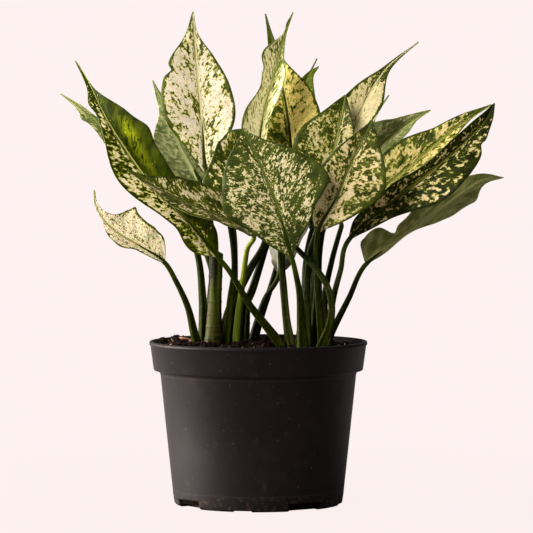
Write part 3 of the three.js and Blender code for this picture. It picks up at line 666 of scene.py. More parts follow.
# Leaves. Each has the route of its stalk from the soil and its midrib from blade base to tip, its
# half widths left and right of the midrib, the way its upper face looks (and that of its tip, if
# not the same), the rise and the roll of its halves in degrees, as one number or left and right,
# the wave of its edges (height, number, start), the radius of its stalk's foot, and bumps of its
# edge (side, share of the length, spread as a share, amount).
commonLeaf = {"fold": 16, "roll": -8, "sheath": 3.2, "edge": ()}
leaves = {
    "leaf_front": {"stalk": [(31, -31), (30, -36, 133), (29, -42, 151), (26, -47, 167)],
        "midrib": [(23, -50, 179), (14, -60, 211), (3, -66, 239), (-10, -68, 266)],
        "left": (11, 25, 37, 31, 20), "right": (9, 25.5, 40, 28.5, 12), "face": (0.1, -1, 0.3),
        "tipFace": (-0.1, -1, 0.3), "fold": 14, "wave": (1.2, 2, 0.2), "sheath": 4.6,
        "edge": [(1, 0.45, 0.05, 2), (1, 0.32, 0.05, -2)]},
    "leaf_right_front": {"stalk": [(46, -19), (43, -26, 140), (41, -31, 168)],
        "midrib": [(42, -35, 195), (55, -45, 220), (66, -52, 246), (79, -60, 273)],
        "left": (9, 18, 19, 13, 6), "right": (8, 19, 30, 26, 13), "face": (0, -1, 0.3),
        "tipFace": (0.1, -0.9, 0.5), "roll": -10, "wave": (1.5, 2, 0.6), "sheath": 3.8},
    "leaf_left_flat": {"stalk": [(-16, 22), (-14, 18, 136), (-11, 6, 159), (-8, -8, 181)],
        "midrib": [(-4, -20, 193), (-30, -45, 207), (-65, -62, 223), (-91, -70, 239)],
        "left": (12, 18, 17, 12, 5), "right": (15, 25, 22, 14, 6), "face": (0, -0.5, 0.9), "fold": (8, 34),
        "roll": -10, "wave": (1.5, 2, 0.5)},
    "leaf_left_big": {"stalk": [(17, 1), (7, -3, 125), (-6, -8, 142), (-19, -12, 164)],
        "midrib": [(-29, -15, 177), (-52, -24, 205), (-76, -30, 229), (-104, -28, 270), (-120, -20, 301),
                   (-129, -15, 315)],
        "left": (13, 12, 18, 7, 3.5), "right": (13, 17, 22, 17.5, 1.8), "face": (-0.2, -1, 0.2), "fold": 30,
        "roll": -10, "wave": (2, 2, 0.1), "sheath": 4.2,
        "edge": [(1, 0.6, 0.05, 4), (-1, 0.81, 0.035, 3), (-1, 0.2, 0.05, -2.5)]},
    "leaf_left_low": {"stalk": [(-44, 5), (-46, 1, 122), (-50, -3, 140), (-58, -6, 158)],
        "midrib": [(-67, -10, 173), (-83, -18, 184), (-103, -26, 197), (-113, -30, 211), (-115, -32, 224)],
        "left": (5, 6, 13, 2, 1), "right": (16, 18, 21, 7, 1.6), "face": (-0.2, -0.8, 0.6),
        "fold": (24, 10), "roll": (0, -5), "wave": (1, 2, 0.3), "sheath": 3.6, "edge": [(1, 0.47, 0.03, 3)]},
    "leaf_tall_left": {"stalk": [(-23.5, 18), (-20, 14, 144), (-17, 10, 172), (-23, 8, 209)],
        "midrib": [(-37, 10, 236), (-40, 18, 269), (-44, 28, 312), (-47, 36, 351)],
        "left": (9, 25, 28, 20, 7), "right": (10, 24, 23, 13.5, 2.5), "face": (0, -1, 0.2), "roll": -10,
        "wave": (1.2, 3, 0.2), "edge": [(-1, 0.64, 0.025, -4)]},
    "leaf_left_behind": {"stalk": [(-37, 28), (-34, 25, 151), (-32, 24, 176), (-35, 26, 205)],
        "midrib": [(-42, 30, 228), (-57, 42, 255), (-69, 54, 284), (-77, 60, 302)],
        "left": (12, 20, 18, 10, 3), "right": (15, 24, 17, 5.5, 3), "face": (-0.5, 0.75, 0.4),
        "tipFace": (-0.6, 0.7, 0.4), "fold": 14, "wave": (1, 2, 0.4)},
    "leaf_left_far": {"stalk": [(-40, 20), (-40, 16, 144), (-43.5, 14, 177), (-55, 14, 202)],
        "midrib": [(-67, 15, 219), (-99, 20, 252), (-124, 22, 279), (-142, 20, 292)],
        "left": (8, 12, 10, 7, 4), "right": (8, 14, 12, 4, 1.5), "face": (0, -0.6, 0.8), "fold": 20,
        "roll": -10, "wave": (1.2, 2, 0.1), "sheath": 3.8, "edge": [(-1, 0.77, 0.035, 3.5)]},
    "leaf_centre_small": {
        "stalk": [(42, -35), (50, -42, 130), (51, -42, 147), (45, -38, 163), (29, -30, 181), (12, -20, 196)],
        "midrib": [(0, -12, 208), (-13, -8, 245), (-14, -8, 258), (-9, -12, 267)],
        "left": (17, 33, 31, 19, 10), "right": (14, 24, 24, 14, 4), "face": (0, -1, 0.3), "fold": 18,
        "roll": -10, "wave": (1.2, 2, 0.7)},
    "leaf_tall_centre": {"stalk": [(-25.5, 27.5), (-19, 25, 140), (-6, 22, 166), (5, 20, 187), (4, 17, 214)],
        "midrib": [(0, 15, 239), (3, 16, 273), (11, 18, 305), (18, 20, 330), (25, 22, 350)],
        "left": (12, 16.5, 8, 14, 1.5), "right": (10, 11, 18.5, 8, 1.5), "face": (-0.2, -1, 0.1),
        "fold": (30, 40), "roll": 20, "wave": (1, 2, 0.2), "sheath": 4.6,
        "edge": [(-1, 0.92, 0.045, 2), (-1, 0.62, 0.04, -2.5), (1, 0.62, 0.05, 3)]},
    "leaf_olive": {"stalk": [(-11, 42), (-9, 38, 139), (-4, 34, 152), (6, 32, 184), (15, 34, 212)],
        "midrib": [(24, 35, 231), (21, 44, 277), (13, 52, 315), (5, 60, 350)],
        "left": (14, 24, 20, 7, 2.5), "right": (15, 24, 19.5, 6, 2), "face": (0, -1, 0.2), "fold": 12,
        "wave": (1.2, 2, 0.5), "sheath": 4.2},
    "leaf_tip_behind": {"stalk": [(24, -5), (20, 0, 131), (18, 8, 155), (16, 20, 180), (18, 42, 212)],
        "midrib": [(24, 62, 244), (30, 72, 284), (36, 78, 304), (44, 82, 312)],
        "left": (10, 20, 20, 8, 2.5), "right": (10, 16, 14, 9, 4), "face": (0, -1, 0.3),
        "wave": (1.2, 2, 0.5)},
    "leaf_right_speckled": {"stalk": [(35, -18), (34, -14, 146), (36, -10, 178)],
        "midrib": [(42, -8, 197), (49, -3, 231), (57, 2, 266), (62, 6, 291)],
        "left": (8, 21, 29, 26, 12.5), "right": (6, 15, 19, 13, 7), "face": (0, -1, 0.3), "fold": 14,
        "wave": (1.2, 2, 0.3), "sheath": 4.4},
    "leaf_right_tall": {"stalk": [(40, -9), (42, -4, 145), (43, 2, 178), (49, 8, 210)],
        "midrib": [(58, 13, 238), (72, 19, 276), (90, 26, 308), (115, 34, 329)],
        "left": (11, 19, 13, 3, 1), "right": (8, 9, 12, 4, 1.3), "face": (0, -1, 0.1), "fold": 18,
        "roll": -10, "wave": (1, 2, 0.2), "sheath": 4.6},
    "leaf_right_behind": {"stalk": [(36, 9), (40, 12, 152), (44, 22, 185), (52, 32, 207)],
        "midrib": [(63, 37, 226), (88, 48, 254), (108, 55, 270), (125, 60, 280)],
        "left": (8, 16, 17, 10, 4.5), "right": (7, 8, 9, 8, 2.5), "face": (0.1, -0.7, 0.7), "fold": 20,
        "wave": (1, 2, 0.2)},
    "leaf_right_pale": {"stalk": [(48, -5), (47, -10, 146), (52, -8, 173), (59, 2, 197)],
        "midrib": [(62, 5, 205), (101, 12, 234), (137, 18, 264), (167, 22, 284)],
        "left": (9, 17, 19, 10, 5), "right": (9, 15, 15, 9, 1.2), "face": (0, -0.8, 0.6), "fold": 22,
        "roll": -10, "wave": (1.5, 2, 0.5)},
    "leaf_right_big": {"stalk": [(48, -27), (52, -24, 143), (58, -20, 167)],
        "midrib": [(65, -15, 190), (100, -20, 220), (135, -20, 248), (158, -14, 270), (167, -10, 285)],
        "left": (10, 12, 9, 9, 9), "right": (6, 14, 25, 19, 8), "face": (0, -0.9, 0.4), "fold": (60, 16),
        "roll": -10, "wave": (2, 3, 0.2), "edge": [(1, 0.79, 0.02, -3)]},
    "leaf_right_low": {"stalk": [(49, 5), (52, -4, 122), (64, -4, 146)],
        "midrib": [(77, 5, 171), (105, 10, 192), (133, 14, 212), (158, 14, 229), (175, 12, 232)],
        "left": (4, 2, 8, 13.5, 4.5), "right": (18.5, 10, 17, 15, 6), "face": (0, 0.8, 0.6), "fold": 10,
        "roll": -10, "wave": (1.5, 3, 0.2),
        "edge": [(-1, 0.77, 0.04, 3), (1, 0.24, 0.035, -7), (1, 0.04, 0.03, 6)]},
    "leaf_back_pale": {"stalk": [(-4, 46), (-1, 46, 127), (5, 48, 144)],
        "midrib": [(15, 50, 162), (13, 72, 193), (10, 88, 221), (7, 95, 243)],
        "left": (10, 23, 24, 15, 5), "right": (6, 10, 14, 12, 4), "face": (0, 0.7, 0.7), "fold": 14,
        "wave": (1.2, 2, 0.4)},
    "leaf_back_right": {"stalk": [(29, 10), (35, 24, 158), (46, 42, 204)],
        "midrib": [(58, 48, 222), (70, 56, 250), (84, 62, 275), (95, 66, 291)],
        "left": (9, 20, 14, 3, 1), "right": (9, 20, 14, 3, 1), "face": (0, -0.9, 0.4), "wave": (1, 2, 0.4)},
    "leaf_back_tall": {"stalk": [(22, 14), (19, 22, 140), (17, 34, 165), (18, 50, 195)],
        "midrib": [(18, 64, 215), (22, 78, 255), (30, 88, 290), (43, 98, 318)],
        "left": (10, 24, 24, 8, 1.5), "right": (10, 24, 24, 8, 1.5), "face": (0, 1, 0.4), "fold": 14,
        "wave": (1.2, 2, 0.6)},
    "leaf_back_left": {"stalk": [(-30, 40), (-31, 50, 150)],
        "midrib": [(-42, 58, 185), (-60, 82, 212), (-78, 104, 236), (-92, 122, 250)],
        "left": (10, 24, 25, 16, 5), "right": (10, 21, 22, 15, 5), "face": (-0.3, 0.5, 0.8),
        "wave": (1.5, 2, 0.6)},
    "leaf_back_low_left": {"stalk": [(-20, 58), (-18, 63, 138), (-17, 68, 166)],
        "midrib": [(-18, 76, 192), (-24, 102, 213), (-30, 124, 230), (-37, 138, 237)],
        "left": (10, 20, 21, 13, 4), "right": (10, 21, 22, 13, 4), "face": (-0.1, 0.5, 0.8),
        "tipFace": (-0.1, 0.7, 0.6), "wave": (1.5, 2, 0.1)},
    "leaf_back_low": {"stalk": [(-3, 61), (1, 62, 128), (8, 67, 148), (14, 77, 170)],
        "midrib": [(16, 88, 190), (15, 112, 210), (12, 132, 226), (6, 147, 232)],
        "left": (9, 18, 19, 12, 4), "right": (9, 18, 19, 12, 4), "face": (0.1, 0.5, 0.8),
        "tipFace": (0.1, 0.7, 0.6), "wave": (1.5, 2, 0.3)},
    "leaf_back_low_right": {"stalk": [(30, 38), (33, 50, 140), (34, 58, 168)],
        "midrib": [(39, 70, 193), (50, 91, 215), (62, 111, 231), (72, 127, 237)],
        "left": (8, 16, 18, 12, 4), "right": (8, 16, 18, 12, 4), "face": (0.2, 0.5, 0.8),
        "tipFace": (0.2, 0.6, 0.7), "wave": (1.5, 2, 0.3)},
    "leaf_back_wide_right": {"stalk": [(32, 22), (38, 40, 150), (42, 54, 180)],
        "midrib": [(50, 66, 203), (74, 84, 230), (96, 98, 250), (114, 110, 260)],
        "left": (10, 24, 25, 15, 5), "right": (10, 24, 25, 15, 5), "face": (0.3, 0.4, 0.8),
        "tipFace": (0.3, 0.5, 0.8), "wave": (1.5, 2, 0.7)},
}

blade = {
    "stations": (0, 0.1, 0.3, 0.5, 0.7, 0.86, 1), "baseHalf": 1.6, "tipHalf": 0.5, "leastHalf": 0.4,
    "rows": 84, "columns": 21, "rowShift": 0.06, "columnShift": 0.55, "flatRoll": 1e-4,
    "thickness": 0.9, "edgeThickness": 0.3, "thinBelowHalf": 2.2,
    "groove": 0.75, "grooveWidth": 1.3, "grooveFrom": 0.04, "rib": (1.7, 0.9, 0.3), "ribFrom": 0.02,
    "ribEnd": 0.95, "ribProud": 0.8, "veinSpacing": 11, "veinSlant": 0.75, "veinDepth": 0.22,
    "waveShift": 0.37, "fullWaveHalf": 8, "ripple": 0.35, "fullRippleHalf": 15,
}
stalk = {
    "depth": 14, "topRadius": 1.7, "taper": 1.4, "endShare": 0.34, "endRadius": 0.3, "endRings": 14,
    "sides": 20, "step": 3, "leastRings": 12, "channel": 0.45, "channelWidth": 0.42,
    "sheath": 0.45, "sheathFade": 0.2, "wing": 0.3, "wingPlace": 0.75, "wingWidth": 0.3,
}
samplesPerStretch = 80
tangentReach = 0.4


def unit(vectors):
    return vectors / np.linalg.norm(vectors, axis=-1, keepdims=True)


def fading(values, width):
    return np.exp(-(values / width) ** 2)


class Route:
    # the smooth curve through a leaf's stalk and midrib; share 0 is the blade's base and 1 its tip
    def __init__(self, leaf):
        x, y = leaf["stalk"][0]
        ground = float(soilHeight(x, y))
        points = [(x, y, ground - stalk["depth"]), (x, y, ground), *leaf["stalk"][1:], *leaf["midrib"]]
        points = np.array(points, float)
        points = np.vstack([2 * points[0] - points[1], points, 2 * points[-1] - points[-2]])
        spans = len(points) - 3
        t = np.linspace(0, spans, spans * samplesPerStretch + 1)
        i = np.minimum(t.astype(int), spans - 1)
        u = (t - i)[:, None]
        a, b, c, d = (points[i + k] for k in range(4))
        self.place = 0.5 * (2 * b + (c - a) * u + (2 * a - 5 * b + 4 * c - d) * u ** 2
                            + (3 * b - a - 3 * c + d) * u ** 3)
        steps = np.linalg.norm(np.diff(self.place, axis=0), axis=1)
        self.length = np.concatenate([[0], np.cumsum(steps)])
        self.base = self.length[samplesPerStretch * (spans + 1 - len(leaf["midrib"]))]
        self.blade = self.length[-1] - self.base
        faces = (leaf["face"], leaf.get("tipFace", leaf["face"]))
        self.faces = [np.array(f) / np.linalg.norm(f) for f in faces]

    def placeAt(self, along):
        return np.stack([np.interp(along, self.length, self.place[:, k]) for k in range(3)], -1)

    def at(self, shares):
        # place, direction and upper face at each share; the last two are unit vectors
        along = np.clip(self.base + np.asarray(shares) * self.blade, 0, self.length[-1])
        tangent = unit(self.placeAt(along + tangentReach) - self.placeAt(along - tangentReach))
        blend = np.clip(shares, 0, 1)[:, None]
        face = self.faces[0] * (1 - blend) + self.faces[1] * blend
        face = unit(face - tangent * (face * tangent).sum(-1, keepdims=True))
        return self.placeAt(along), tangent, face


def smoothValue(values, at):
    # a smooth curve through the width stations
    x = np.array(blade["stations"])
    v = np.array(values, float)
    low = np.maximum(np.arange(len(x)) - 1, 0)
    high = np.minimum(np.arange(len(x)) + 1, len(x) - 1)
    slope = (v[high] - v[low]) / (x[high] - x[low])
    i = np.clip(np.searchsorted(x, at) - 1, 0, len(x) - 2)
    span = x[i + 1] - x[i]
    t = (at - x[i]) / span
    return ((2 * t ** 3 - 3 * t ** 2 + 1) * v[i] + (t ** 3 - 2 * t ** 2 + t) * span * slope[i]
            + (3 * t ** 2 - 2 * t ** 3) * v[i + 1] + (t ** 3 - t ** 2) * span * slope[i + 1])


def halfWidths(leaf, shares):
    widths = []
    for side, name in ((-1, "left"), (1, "right")):
        width = smoothValue((blade["baseHalf"], *leaf[name], blade["tipHalf"]), shares)
        for where, share, spread, amount in leaf["edge"]:
            if where == side:
                width = width + amount * fading(shares - share, spread)
        widths.append(np.maximum(width, blade["leastHalf"]))
    return widths


def bladeGrid(leaf, route, seed):
    # the blade's middle surface and normals, each point's place on the blade, how far out it is
    # as a share and in mm, and how thin the blade is there
    shares = np.linspace(0, 1, blade["rows"])
    shares = shares + blade["rowShift"] * np.sin(math.tau * shares) * shares
    place, tangent, face = route.at(shares)
    side = np.cross(tangent, face)
    k = np.linspace(-1, 1, 2 * blade["columns"] + 1)
    across = np.sign(k) * (blade["columnShift"] * k ** 2 + (1 - blade["columnShift"]) * abs(k))
    u = abs(across)[None, :]
    sign = np.where(across < 0, -1.0, 1.0)[None, :]
    right = (across >= 0)[None, :]
    widths = halfWidths(leaf, shares)
    width = np.where(right, widths[1][:, None], widths[0][:, None])
    fold, roll = (np.broadcast_to(leaf[name], 2) for name in ("fold", "roll"))
    fold = np.radians(np.where(right, fold[1], fold[0]))
    roll = np.radians(np.where(right, roll[1] or blade["flatRoll"], roll[0] or blade["flatRoll"]))
    turned = fold + roll * u
    away = width * (np.sin(turned) - np.sin(fold)) / roll
    up = width * (np.cos(fold) - np.cos(turned)) / roll
    # the wave of the edges, and a finer ripple on it
    height, count, start = leaf["wave"]
    ride = shares[:, None]
    phase = math.tau * (count * ride + start + blade["waveShift"] * right)
    grown = u ** 2 * np.minimum(1, width / blade["fullWaveHalf"])
    up = up + height * np.sin(phase) * grown
    fine = np.sin(math.tau * (5.3 * ride + 0.17 * seed) + 2 * sign)
    fine = fine + 0.6 * np.sin(math.tau * (9.1 * ride + 0.31 * seed))
    up = up + blade["ripple"] * fine * grown * np.minimum(1, width / blade["fullRippleHalf"])
    points = place[:, None] + side[:, None] * (sign * away)[..., None] + face[:, None] * up[..., None]
    tilt = turned * np.clip(away / 2, 0, 1)
    normals = face[:, None] * np.cos(tilt)[..., None] - side[:, None] * (sign * np.sin(tilt))[..., None]
    along = (shares * route.blade)[:, None]
    where = np.stack(np.broadcast_arrays(along, across[None, :] * width, across[None, :] + 0 * width), -1)
    thin = np.minimum(1, np.minimum(*widths) / blade["thinBelowHalf"])[:, None]
    return points, normals, where, u, away, thin, ride


def bladeMesh(leaf, route, seed):
    points, normals, where, u, away, thin, ride = bladeGrid(leaf, route, seed)
    half = blade["thickness"] / 2 + (blade["edgeThickness"] - blade["thickness"]) / 2 * u ** 4
    fade = 1 - ride
    groove = blade["groove"] * fading(away, blade["grooveWidth"]) * np.clip(1.15 * fade, 0, 1)
    groove = groove * np.clip(ride / blade["grooveFrom"], 0, 1)
    slant = where[..., 0] - blade["veinSlant"] * away
    line = (0.5 + 0.5 * np.cos(math.tau * slant / blade["veinSpacing"])) ** 5
    line = line * np.clip(away / 3, 0, 1) * (1 - u ** 3)
    vein = blade["veinDepth"] * line * np.clip(fade * 4, 0, 1)
    ribSize = np.interp(ride, (0, stalk["endShare"], blade["ribEnd"]), blade["rib"])
    rib = np.sqrt(np.maximum(ribSize ** 2 - away ** 2, 0)) * np.clip(ride / blade["ribFrom"], 0, 1)
    top = points + normals * ((half - groove - vein) * thin)[..., None]
    bottom = points - normals * ((half + rib * blade["ribProud"] + vein) * thin)[..., None]
    # faces of the upper skin, the lower skin and the rim between them
    rows, columns = away.shape
    index = np.arange(rows * columns).reshape(rows, columns)
    a, b, c, d = index[:-1, :-1], index[:-1, 1:], index[1:, 1:], index[1:, :-1]
    upper = np.stack([a, b, c, d], -1).reshape(-1, 4)
    lower = np.stack([a, d, c, b], -1).reshape(-1, 4) + rows * columns
    loop = np.concatenate([index[0, :-1], index[:-1, -1], index[-1, :0:-1], index[:0:-1, 0]])
    follow = np.roll(loop, -1)
    rim = np.stack([loop, loop + rows * columns, follow + rows * columns, follow], -1)
    which = [0] * len(upper) + [1] * (len(lower) + len(rim))
    points = np.concatenate([top.reshape(-1, 3), bottom.reshape(-1, 3)])
    return points, [*upper, *lower, *rim], which, np.concatenate([where.reshape(-1, 3)] * 2)


def stalkMesh(leaf, route):
    # a channelled stalk from under the soil into the blade's underside, sheathing at its foot
    count = max(stalk["leastRings"], round(route.base / stalk["step"]))
    shares = np.concatenate([
        np.linspace(-route.base / route.blade, 0, count),
        np.linspace(0, stalk["endShare"], stalk["endRings"])[1:]])
    place, tangent, face = route.at(shares)
    for i in range(len(shares) - 2, -1, -1):
        if shares[i] < 0:
            face[i] = unit(face[i + 1] - tangent[i] * (face[i + 1] @ tangent[i]))
    side = np.cross(tangent, face)
    way = np.clip(1 + shares * route.blade / route.base, 0, 1)
    radius = stalk["topRadius"] + (leaf["sheath"] - stalk["topRadius"]) * (1 - way) ** stalk["taper"]
    past = np.clip(shares / stalk["endShare"], 0, 1)
    radius = radius * (1 - past) + stalk["endRadius"] * past
    drop = blade["thickness"] * (0.35 + 0.15 * past) * (shares >= 0)
    # the channel along the upper face, and the sheath's two wings beside it
    sheath = np.clip((stalk["sheath"] - way) / stalk["sheathFade"], 0, 1)
    channel = stalk["channel"] * (0.45 + 0.55 * sheath) * (1 - past)
    angle = np.arange(stalk["sides"]) * math.tau / stalk["sides"]
    fromTop = angle - math.pi / 2
    ring = fading(fromTop, stalk["channelWidth"])
    wings = fading(abs(fromTop) - stalk["wingPlace"], stalk["wingWidth"])
    size = radius[:, None] * (1 - channel[:, None] * ring + stalk["wing"] * sheath[:, None] * wings)
    points = (place - face * drop[:, None])[:, None] + side[:, None] * (size * np.cos(angle))[..., None]
    points = points + face[:, None] * (size * np.sin(angle))[..., None]
    index, faces = ringFaces(*size.shape)
    along = (shares * route.blade)[:, None]
    where = np.stack(np.broadcast_arrays(along, radius[:, None] * fromTop, way[:, None]), -1)
    return points.reshape(-1, 3), [*faces, index[0], index[-1][::-1]], where.reshape(-1, 3)


# What the pattern of a leaf needs: how much cream it has, how much more on its right half, how
# green its margin, tip, base and midrib line stay, the size of its marks across and along the
# side veins, how far these lean and how finely they break up, the colours and the share of cream
# at which each one sets in, and single blotches (share, place across, length, width, strength).
# Glows are painted patches in the glow colour: painted light that comes through the blade, and painted shade
# at the front leaf's base, where that colour is dark.
commonLook = {
    "cream": 0, "lean": 0, "margin": 0.2, "marginFrom": 0.84, "tipGreen": 0.12, "tipFrom": 0.8,
    "baseGreen": 0, "ribGreen": 0.03, "blotch": (9, 13), "streak": (2.6, 4.8), "speck": (1.3, 2.1),
    "weights": (0.3, 0.4, 0.3), "flecks": 0.5, "slant": 1.1, "dark": (36, 44, 0), "mid": (80, 90, 12),
    "yellow": (136, 138, 40), "warm": (200, 186, 118), "pale": (228, 211, 187), "shade": (214, 194, 152),
    "rib": (128, 138, 50), "ribWidth": 0.8, "gloss": 0.45, "shine": 0.12, "under": "greyUnder",
    "stalk": "greenStalk", "blotches": (), "glow": (132, 142, 16), "paintedLightAndShade": (), "detail": 2,
    "yellowAt": (0.455, 0.5), "warmAt": (0.485, 0.515), "paleAt": (0.5, 0.545), "edgeAt": (0.955, 0.99),
    "tone": (5, 9), "fine": (0.9, 1.6), "fleck": (0.8, 1.3), "glowMark": (1.4, 5), "veins": 0.12,
}
looks = {
    "leaf_front": {
        "cream": -0.022, "dark": (44, 54, 6), "mid": (76, 86, 22), "yellow": (140, 146, 60),
        "rib": (84, 100, 18), "margin": 0.15, "tipFrom": 0.6, "tipGreen": 0.06, "shine": 0.18,
        "flecks": 0.15, "speck": (0.8, 1.5), "streak": (1.7, 3.4), "blotch": (8, 11), "slant": 0.75,
        "weights": (0.22, 0.4, 0.38), "warm": (206, 196, 128), "pale": (230, 216, 182),
        # the glow colour here is dark: this glow patch is painted shade over the blade's base
        "shade": (218, 200, 154), "glow": (36, 44, 6), "paintedLightAndShade": [(0.08, 4, 26, 20, 0.9)],
        "blotches": [(0.35, -16, 14, 14, 0.025), (0.55, 32, 40, 7, -0.05), (0.12, 6, 12, 8, -0.1)]},
    # this leaf's colours are darker than its own as painted shade, since it faces the key light full on
    "leaf_right_front": {
        "cream": -0.018, "dark": (28, 36, 0), "mid": (68, 76, 8), "yellow": (118, 120, 34),
        "warm": (168, 154, 88), "pale": (196, 180, 144), "shade": (184, 165, 118), "rib": (78, 90, 20),
        "slant": 0.9, "blotches": [(0.25, -14, 26, 12, 0.05), (0.2, 8, 20, 12, 0.03)]},
    "leaf_left_flat": {"cream": -0.034, "rib": (80, 84, 26), "streak": (2, 6), "stalk": "paleStalk"},
    "leaf_left_big": {
        "cream": -0.055, "lean": -0.045, "rib": (150, 156, 78), "mid": (52, 62, 0), "dark": (22, 30, 0),
        "yellow": (156, 160, 30), "streak": (2.2, 6), "baseGreen": 0.012, "glow": (128, 136, 6),
        "shine": 0.03, "blotches": [(0.6, 14, 26, 10, -0.13), (0.9, -6, 26, 12, -0.05)],
        # these glows are painted light: yellow light through the blade, and a painted highlight near the base
        "paintedLightAndShade": [(0.62, 11, 13, 4, 0.75), (0.52, 8, 18, 3, 0.5), (0.1, -5, 14, 8, 0.4)]},
    "leaf_left_low": {
        "cream": 0.055, "rib": (160, 156, 84), "flecks": 0.7, "blotch": (6, 8), "streak": (1.4, 2.4),
        "speck": (0.8, 1.3), "weights": (0.2, 0.4, 0.4), "mid": (112, 114, 44), "warm": (226, 210, 142),
        "pale": (252, 236, 212), "shade": (244, 226, 190)},
    "leaf_tall_left": {
        "cream": 0.044, "rib": (200, 192, 132), "tipFrom": 0.5, "tipGreen": 0.055, "flecks": 0.6,
        "slant": 1.4, "streak": (2.2, 4.4), "detail": 2.5, "pale": (216, 203, 186),
        "shade": (206, 190, 154),
        "blotches": [(0.42, -3, 6, 3, -0.12), (0.3, 3, 4, 3, -0.1), (0.5, 6, 4, 3, -0.1)]},
    "leaf_left_behind": {"under": "paleUnder", "margin": 0.3},
    "leaf_left_far": {
        "cream": -0.04, "dark": (84, 100, 50), "mid": (128, 140, 84), "warm": (188, 190, 112),
        "pale": (206, 206, 142), "shade": (190, 194, 122), "tipFrom": 0.6, "tipGreen": -0.12, "margin": 0.05},
    "leaf_centre_small": {"cream": -0.055, "mid": (62, 74, 4), "blotches": [(0.5, -8, 30, 3, 0.08)]},
    # its negative lean, less cream on the right half that faces the key light, is painted shade
    "leaf_tall_centre": {
        "cream": 0.012, "lean": -0.022, "blotch": (5, 12), "streak": (1.3, 6), "speck": (0.9, 3),
        "slant": 2.2, "dark": (58, 68, 22), "mid": (106, 116, 56), "warm": (196, 190, 118),
        "pale": (226, 216, 178), "shade": (212, 200, 150), "tipFrom": 0.6, "tipGreen": 0.08, "flecks": 0.7,
        "blotches": [(0.2, 0, 34, 16, 0.035)]},
    # this leaf's colours are brightened as painted light, against the shade that the leaves around cast on it
    "leaf_olive": {
        "cream": 0.022, "lean": 0.04, "flecks": 0.9, "tipFrom": 0.6, "tipGreen": 0.35,
        "warm": (196, 180, 74), "pale": (234, 210, 122), "shade": (212, 190, 96), "dark": (44, 54, 0),
        "mid": (96, 106, 16), "rib": (60, 68, 10)},
    "leaf_tip_behind": {"cream": -0.09, "mid": (120, 136, 34), "dark": (60, 74, 6)},
    "leaf_right_speckled": {
        "cream": -0.02, "tipFrom": 0.76, "tipGreen": 0.06, "streak": (2, 3.2), "speck": (1, 1.5),
        "mid": (66, 76, 6), "warm": (180, 168, 92), "pale": (204, 188, 144), "shade": (192, 174, 120)},
    "leaf_right_tall": {
        "cream": 0.07, "lean": 0.03, "rib": (206, 196, 140), "tipFrom": 0.45, "tipGreen": 0.36,
        "slant": 2.2, "marginFrom": 0.78, "margin": 0.3, "pale": (230, 215, 166), "shade": (216, 198, 140),
        "blotches": [(0.5, -24, 46, 6, -0.12), (0.3, 16, 26, 6, -0.06)]},
    # this leaf's greens are brightened as painted light, since it lies in shade
    "leaf_right_behind": {
        "cream": -0.015, "warm": (168, 170, 110), "pale": (198, 196, 146), "shade": (186, 184, 130),
        "dark": (92, 102, 46), "mid": (150, 158, 98), "marginFrom": 0.7, "margin": 0.3},
    "leaf_right_pale": {
        "cream": -0.004, "warm": (170, 156, 70), "pale": (214, 195, 134), "shade": (198, 178, 106),
        "slant": 1.8},
    "leaf_right_big": {
        "cream": -0.045, "dark": (20, 24, 0), "mid": (44, 52, 4), "rib": (96, 102, 20),
        "streak": (2.8, 4.2), "weights": (0.26, 0.48, 0.26), "pale": (214, 190, 154),
        "shade": (200, 176, 134), "shine": 0.06},
    "leaf_right_low": {"cream": -0.05, "under": "oliveUnder"},
    "leaf_back_pale": {"cream": 0.05, "under": "hazyUnder"},
    # near black colours and little cream: painted shade, for the shade this leaf sits in behind the plant
    "leaf_back_low_right": {"cream": -0.12, "dark": (14, 20, 0), "mid": (36, 44, 0), "shine": 0.02},
}


class Leafwise:
    # places on the blade: in mm along and across it, and in mm across and along its side veins
    def __init__(self, maker, length, slant=0.75):
        self.maker = maker
        self.length = length
        self.along, self.across, half = maker.split(leafPlace(maker))
        self.half = abs(half)
        self.away = abs(self.across)
        self.side = self.across / (self.away + 0.3)
        self.share = self.along / length
        reach = math.hypot(1, slant)
        self.offVein = (self.along - self.away * slant) / reach
        self.onVein = (self.away + self.along * slant) / reach
        phase = (self.along - self.away * blade["veinSlant"]) * (math.tau / blade["veinSpacing"])
        self.vein = maker.math("SINE", phase + math.pi / 2) * 0.5 + 0.5

    def marks(self, sizes, seed, detail=2):
        # clouds drawn out along the side veins, different on the two halves
        across, along = sizes
        vector = self.maker.join(self.offVein / across, self.onVein / along, seed + self.side * 20)
        return self.maker.cloud(vector, detail)

    def spotAt(self, share, offset, long, wide):
        return (self.along - share * self.length).bell(long) * (self.across - offset).bell(wide)


def leafPlace(maker):
    return maker.add("ShaderNodeAttribute", None, {"attribute_name": "leafPlace"}, "Vector")


def creamField(spot, look, seed):
    # how cream the blade is at each point: past 0.5 it is cream, below it green
    total = look["cream"]
    for number, (kind, weight) in enumerate(zip(("blotch", "streak", "speck"), look["weights"])):
        total = spot.marks(look[kind], seed * 3.7 + number * 5, look["detail"]) * weight + total
    total = total + spot.side * look["lean"] - spot.half.ease(look["marginFrom"], 1) * look["margin"]
    total = total - spot.share.ease(look["tipFrom"], 1) * look["tipGreen"]
    total = total - (1 - spot.share.ease(0, 0.25)) * look["baseGreen"]
    total = total - spot.away.bell(1.8) * look["ribGreen"]
    for *place, strength in look["blotches"]:
        total = total + spot.spotAt(*place) * strength
    return total


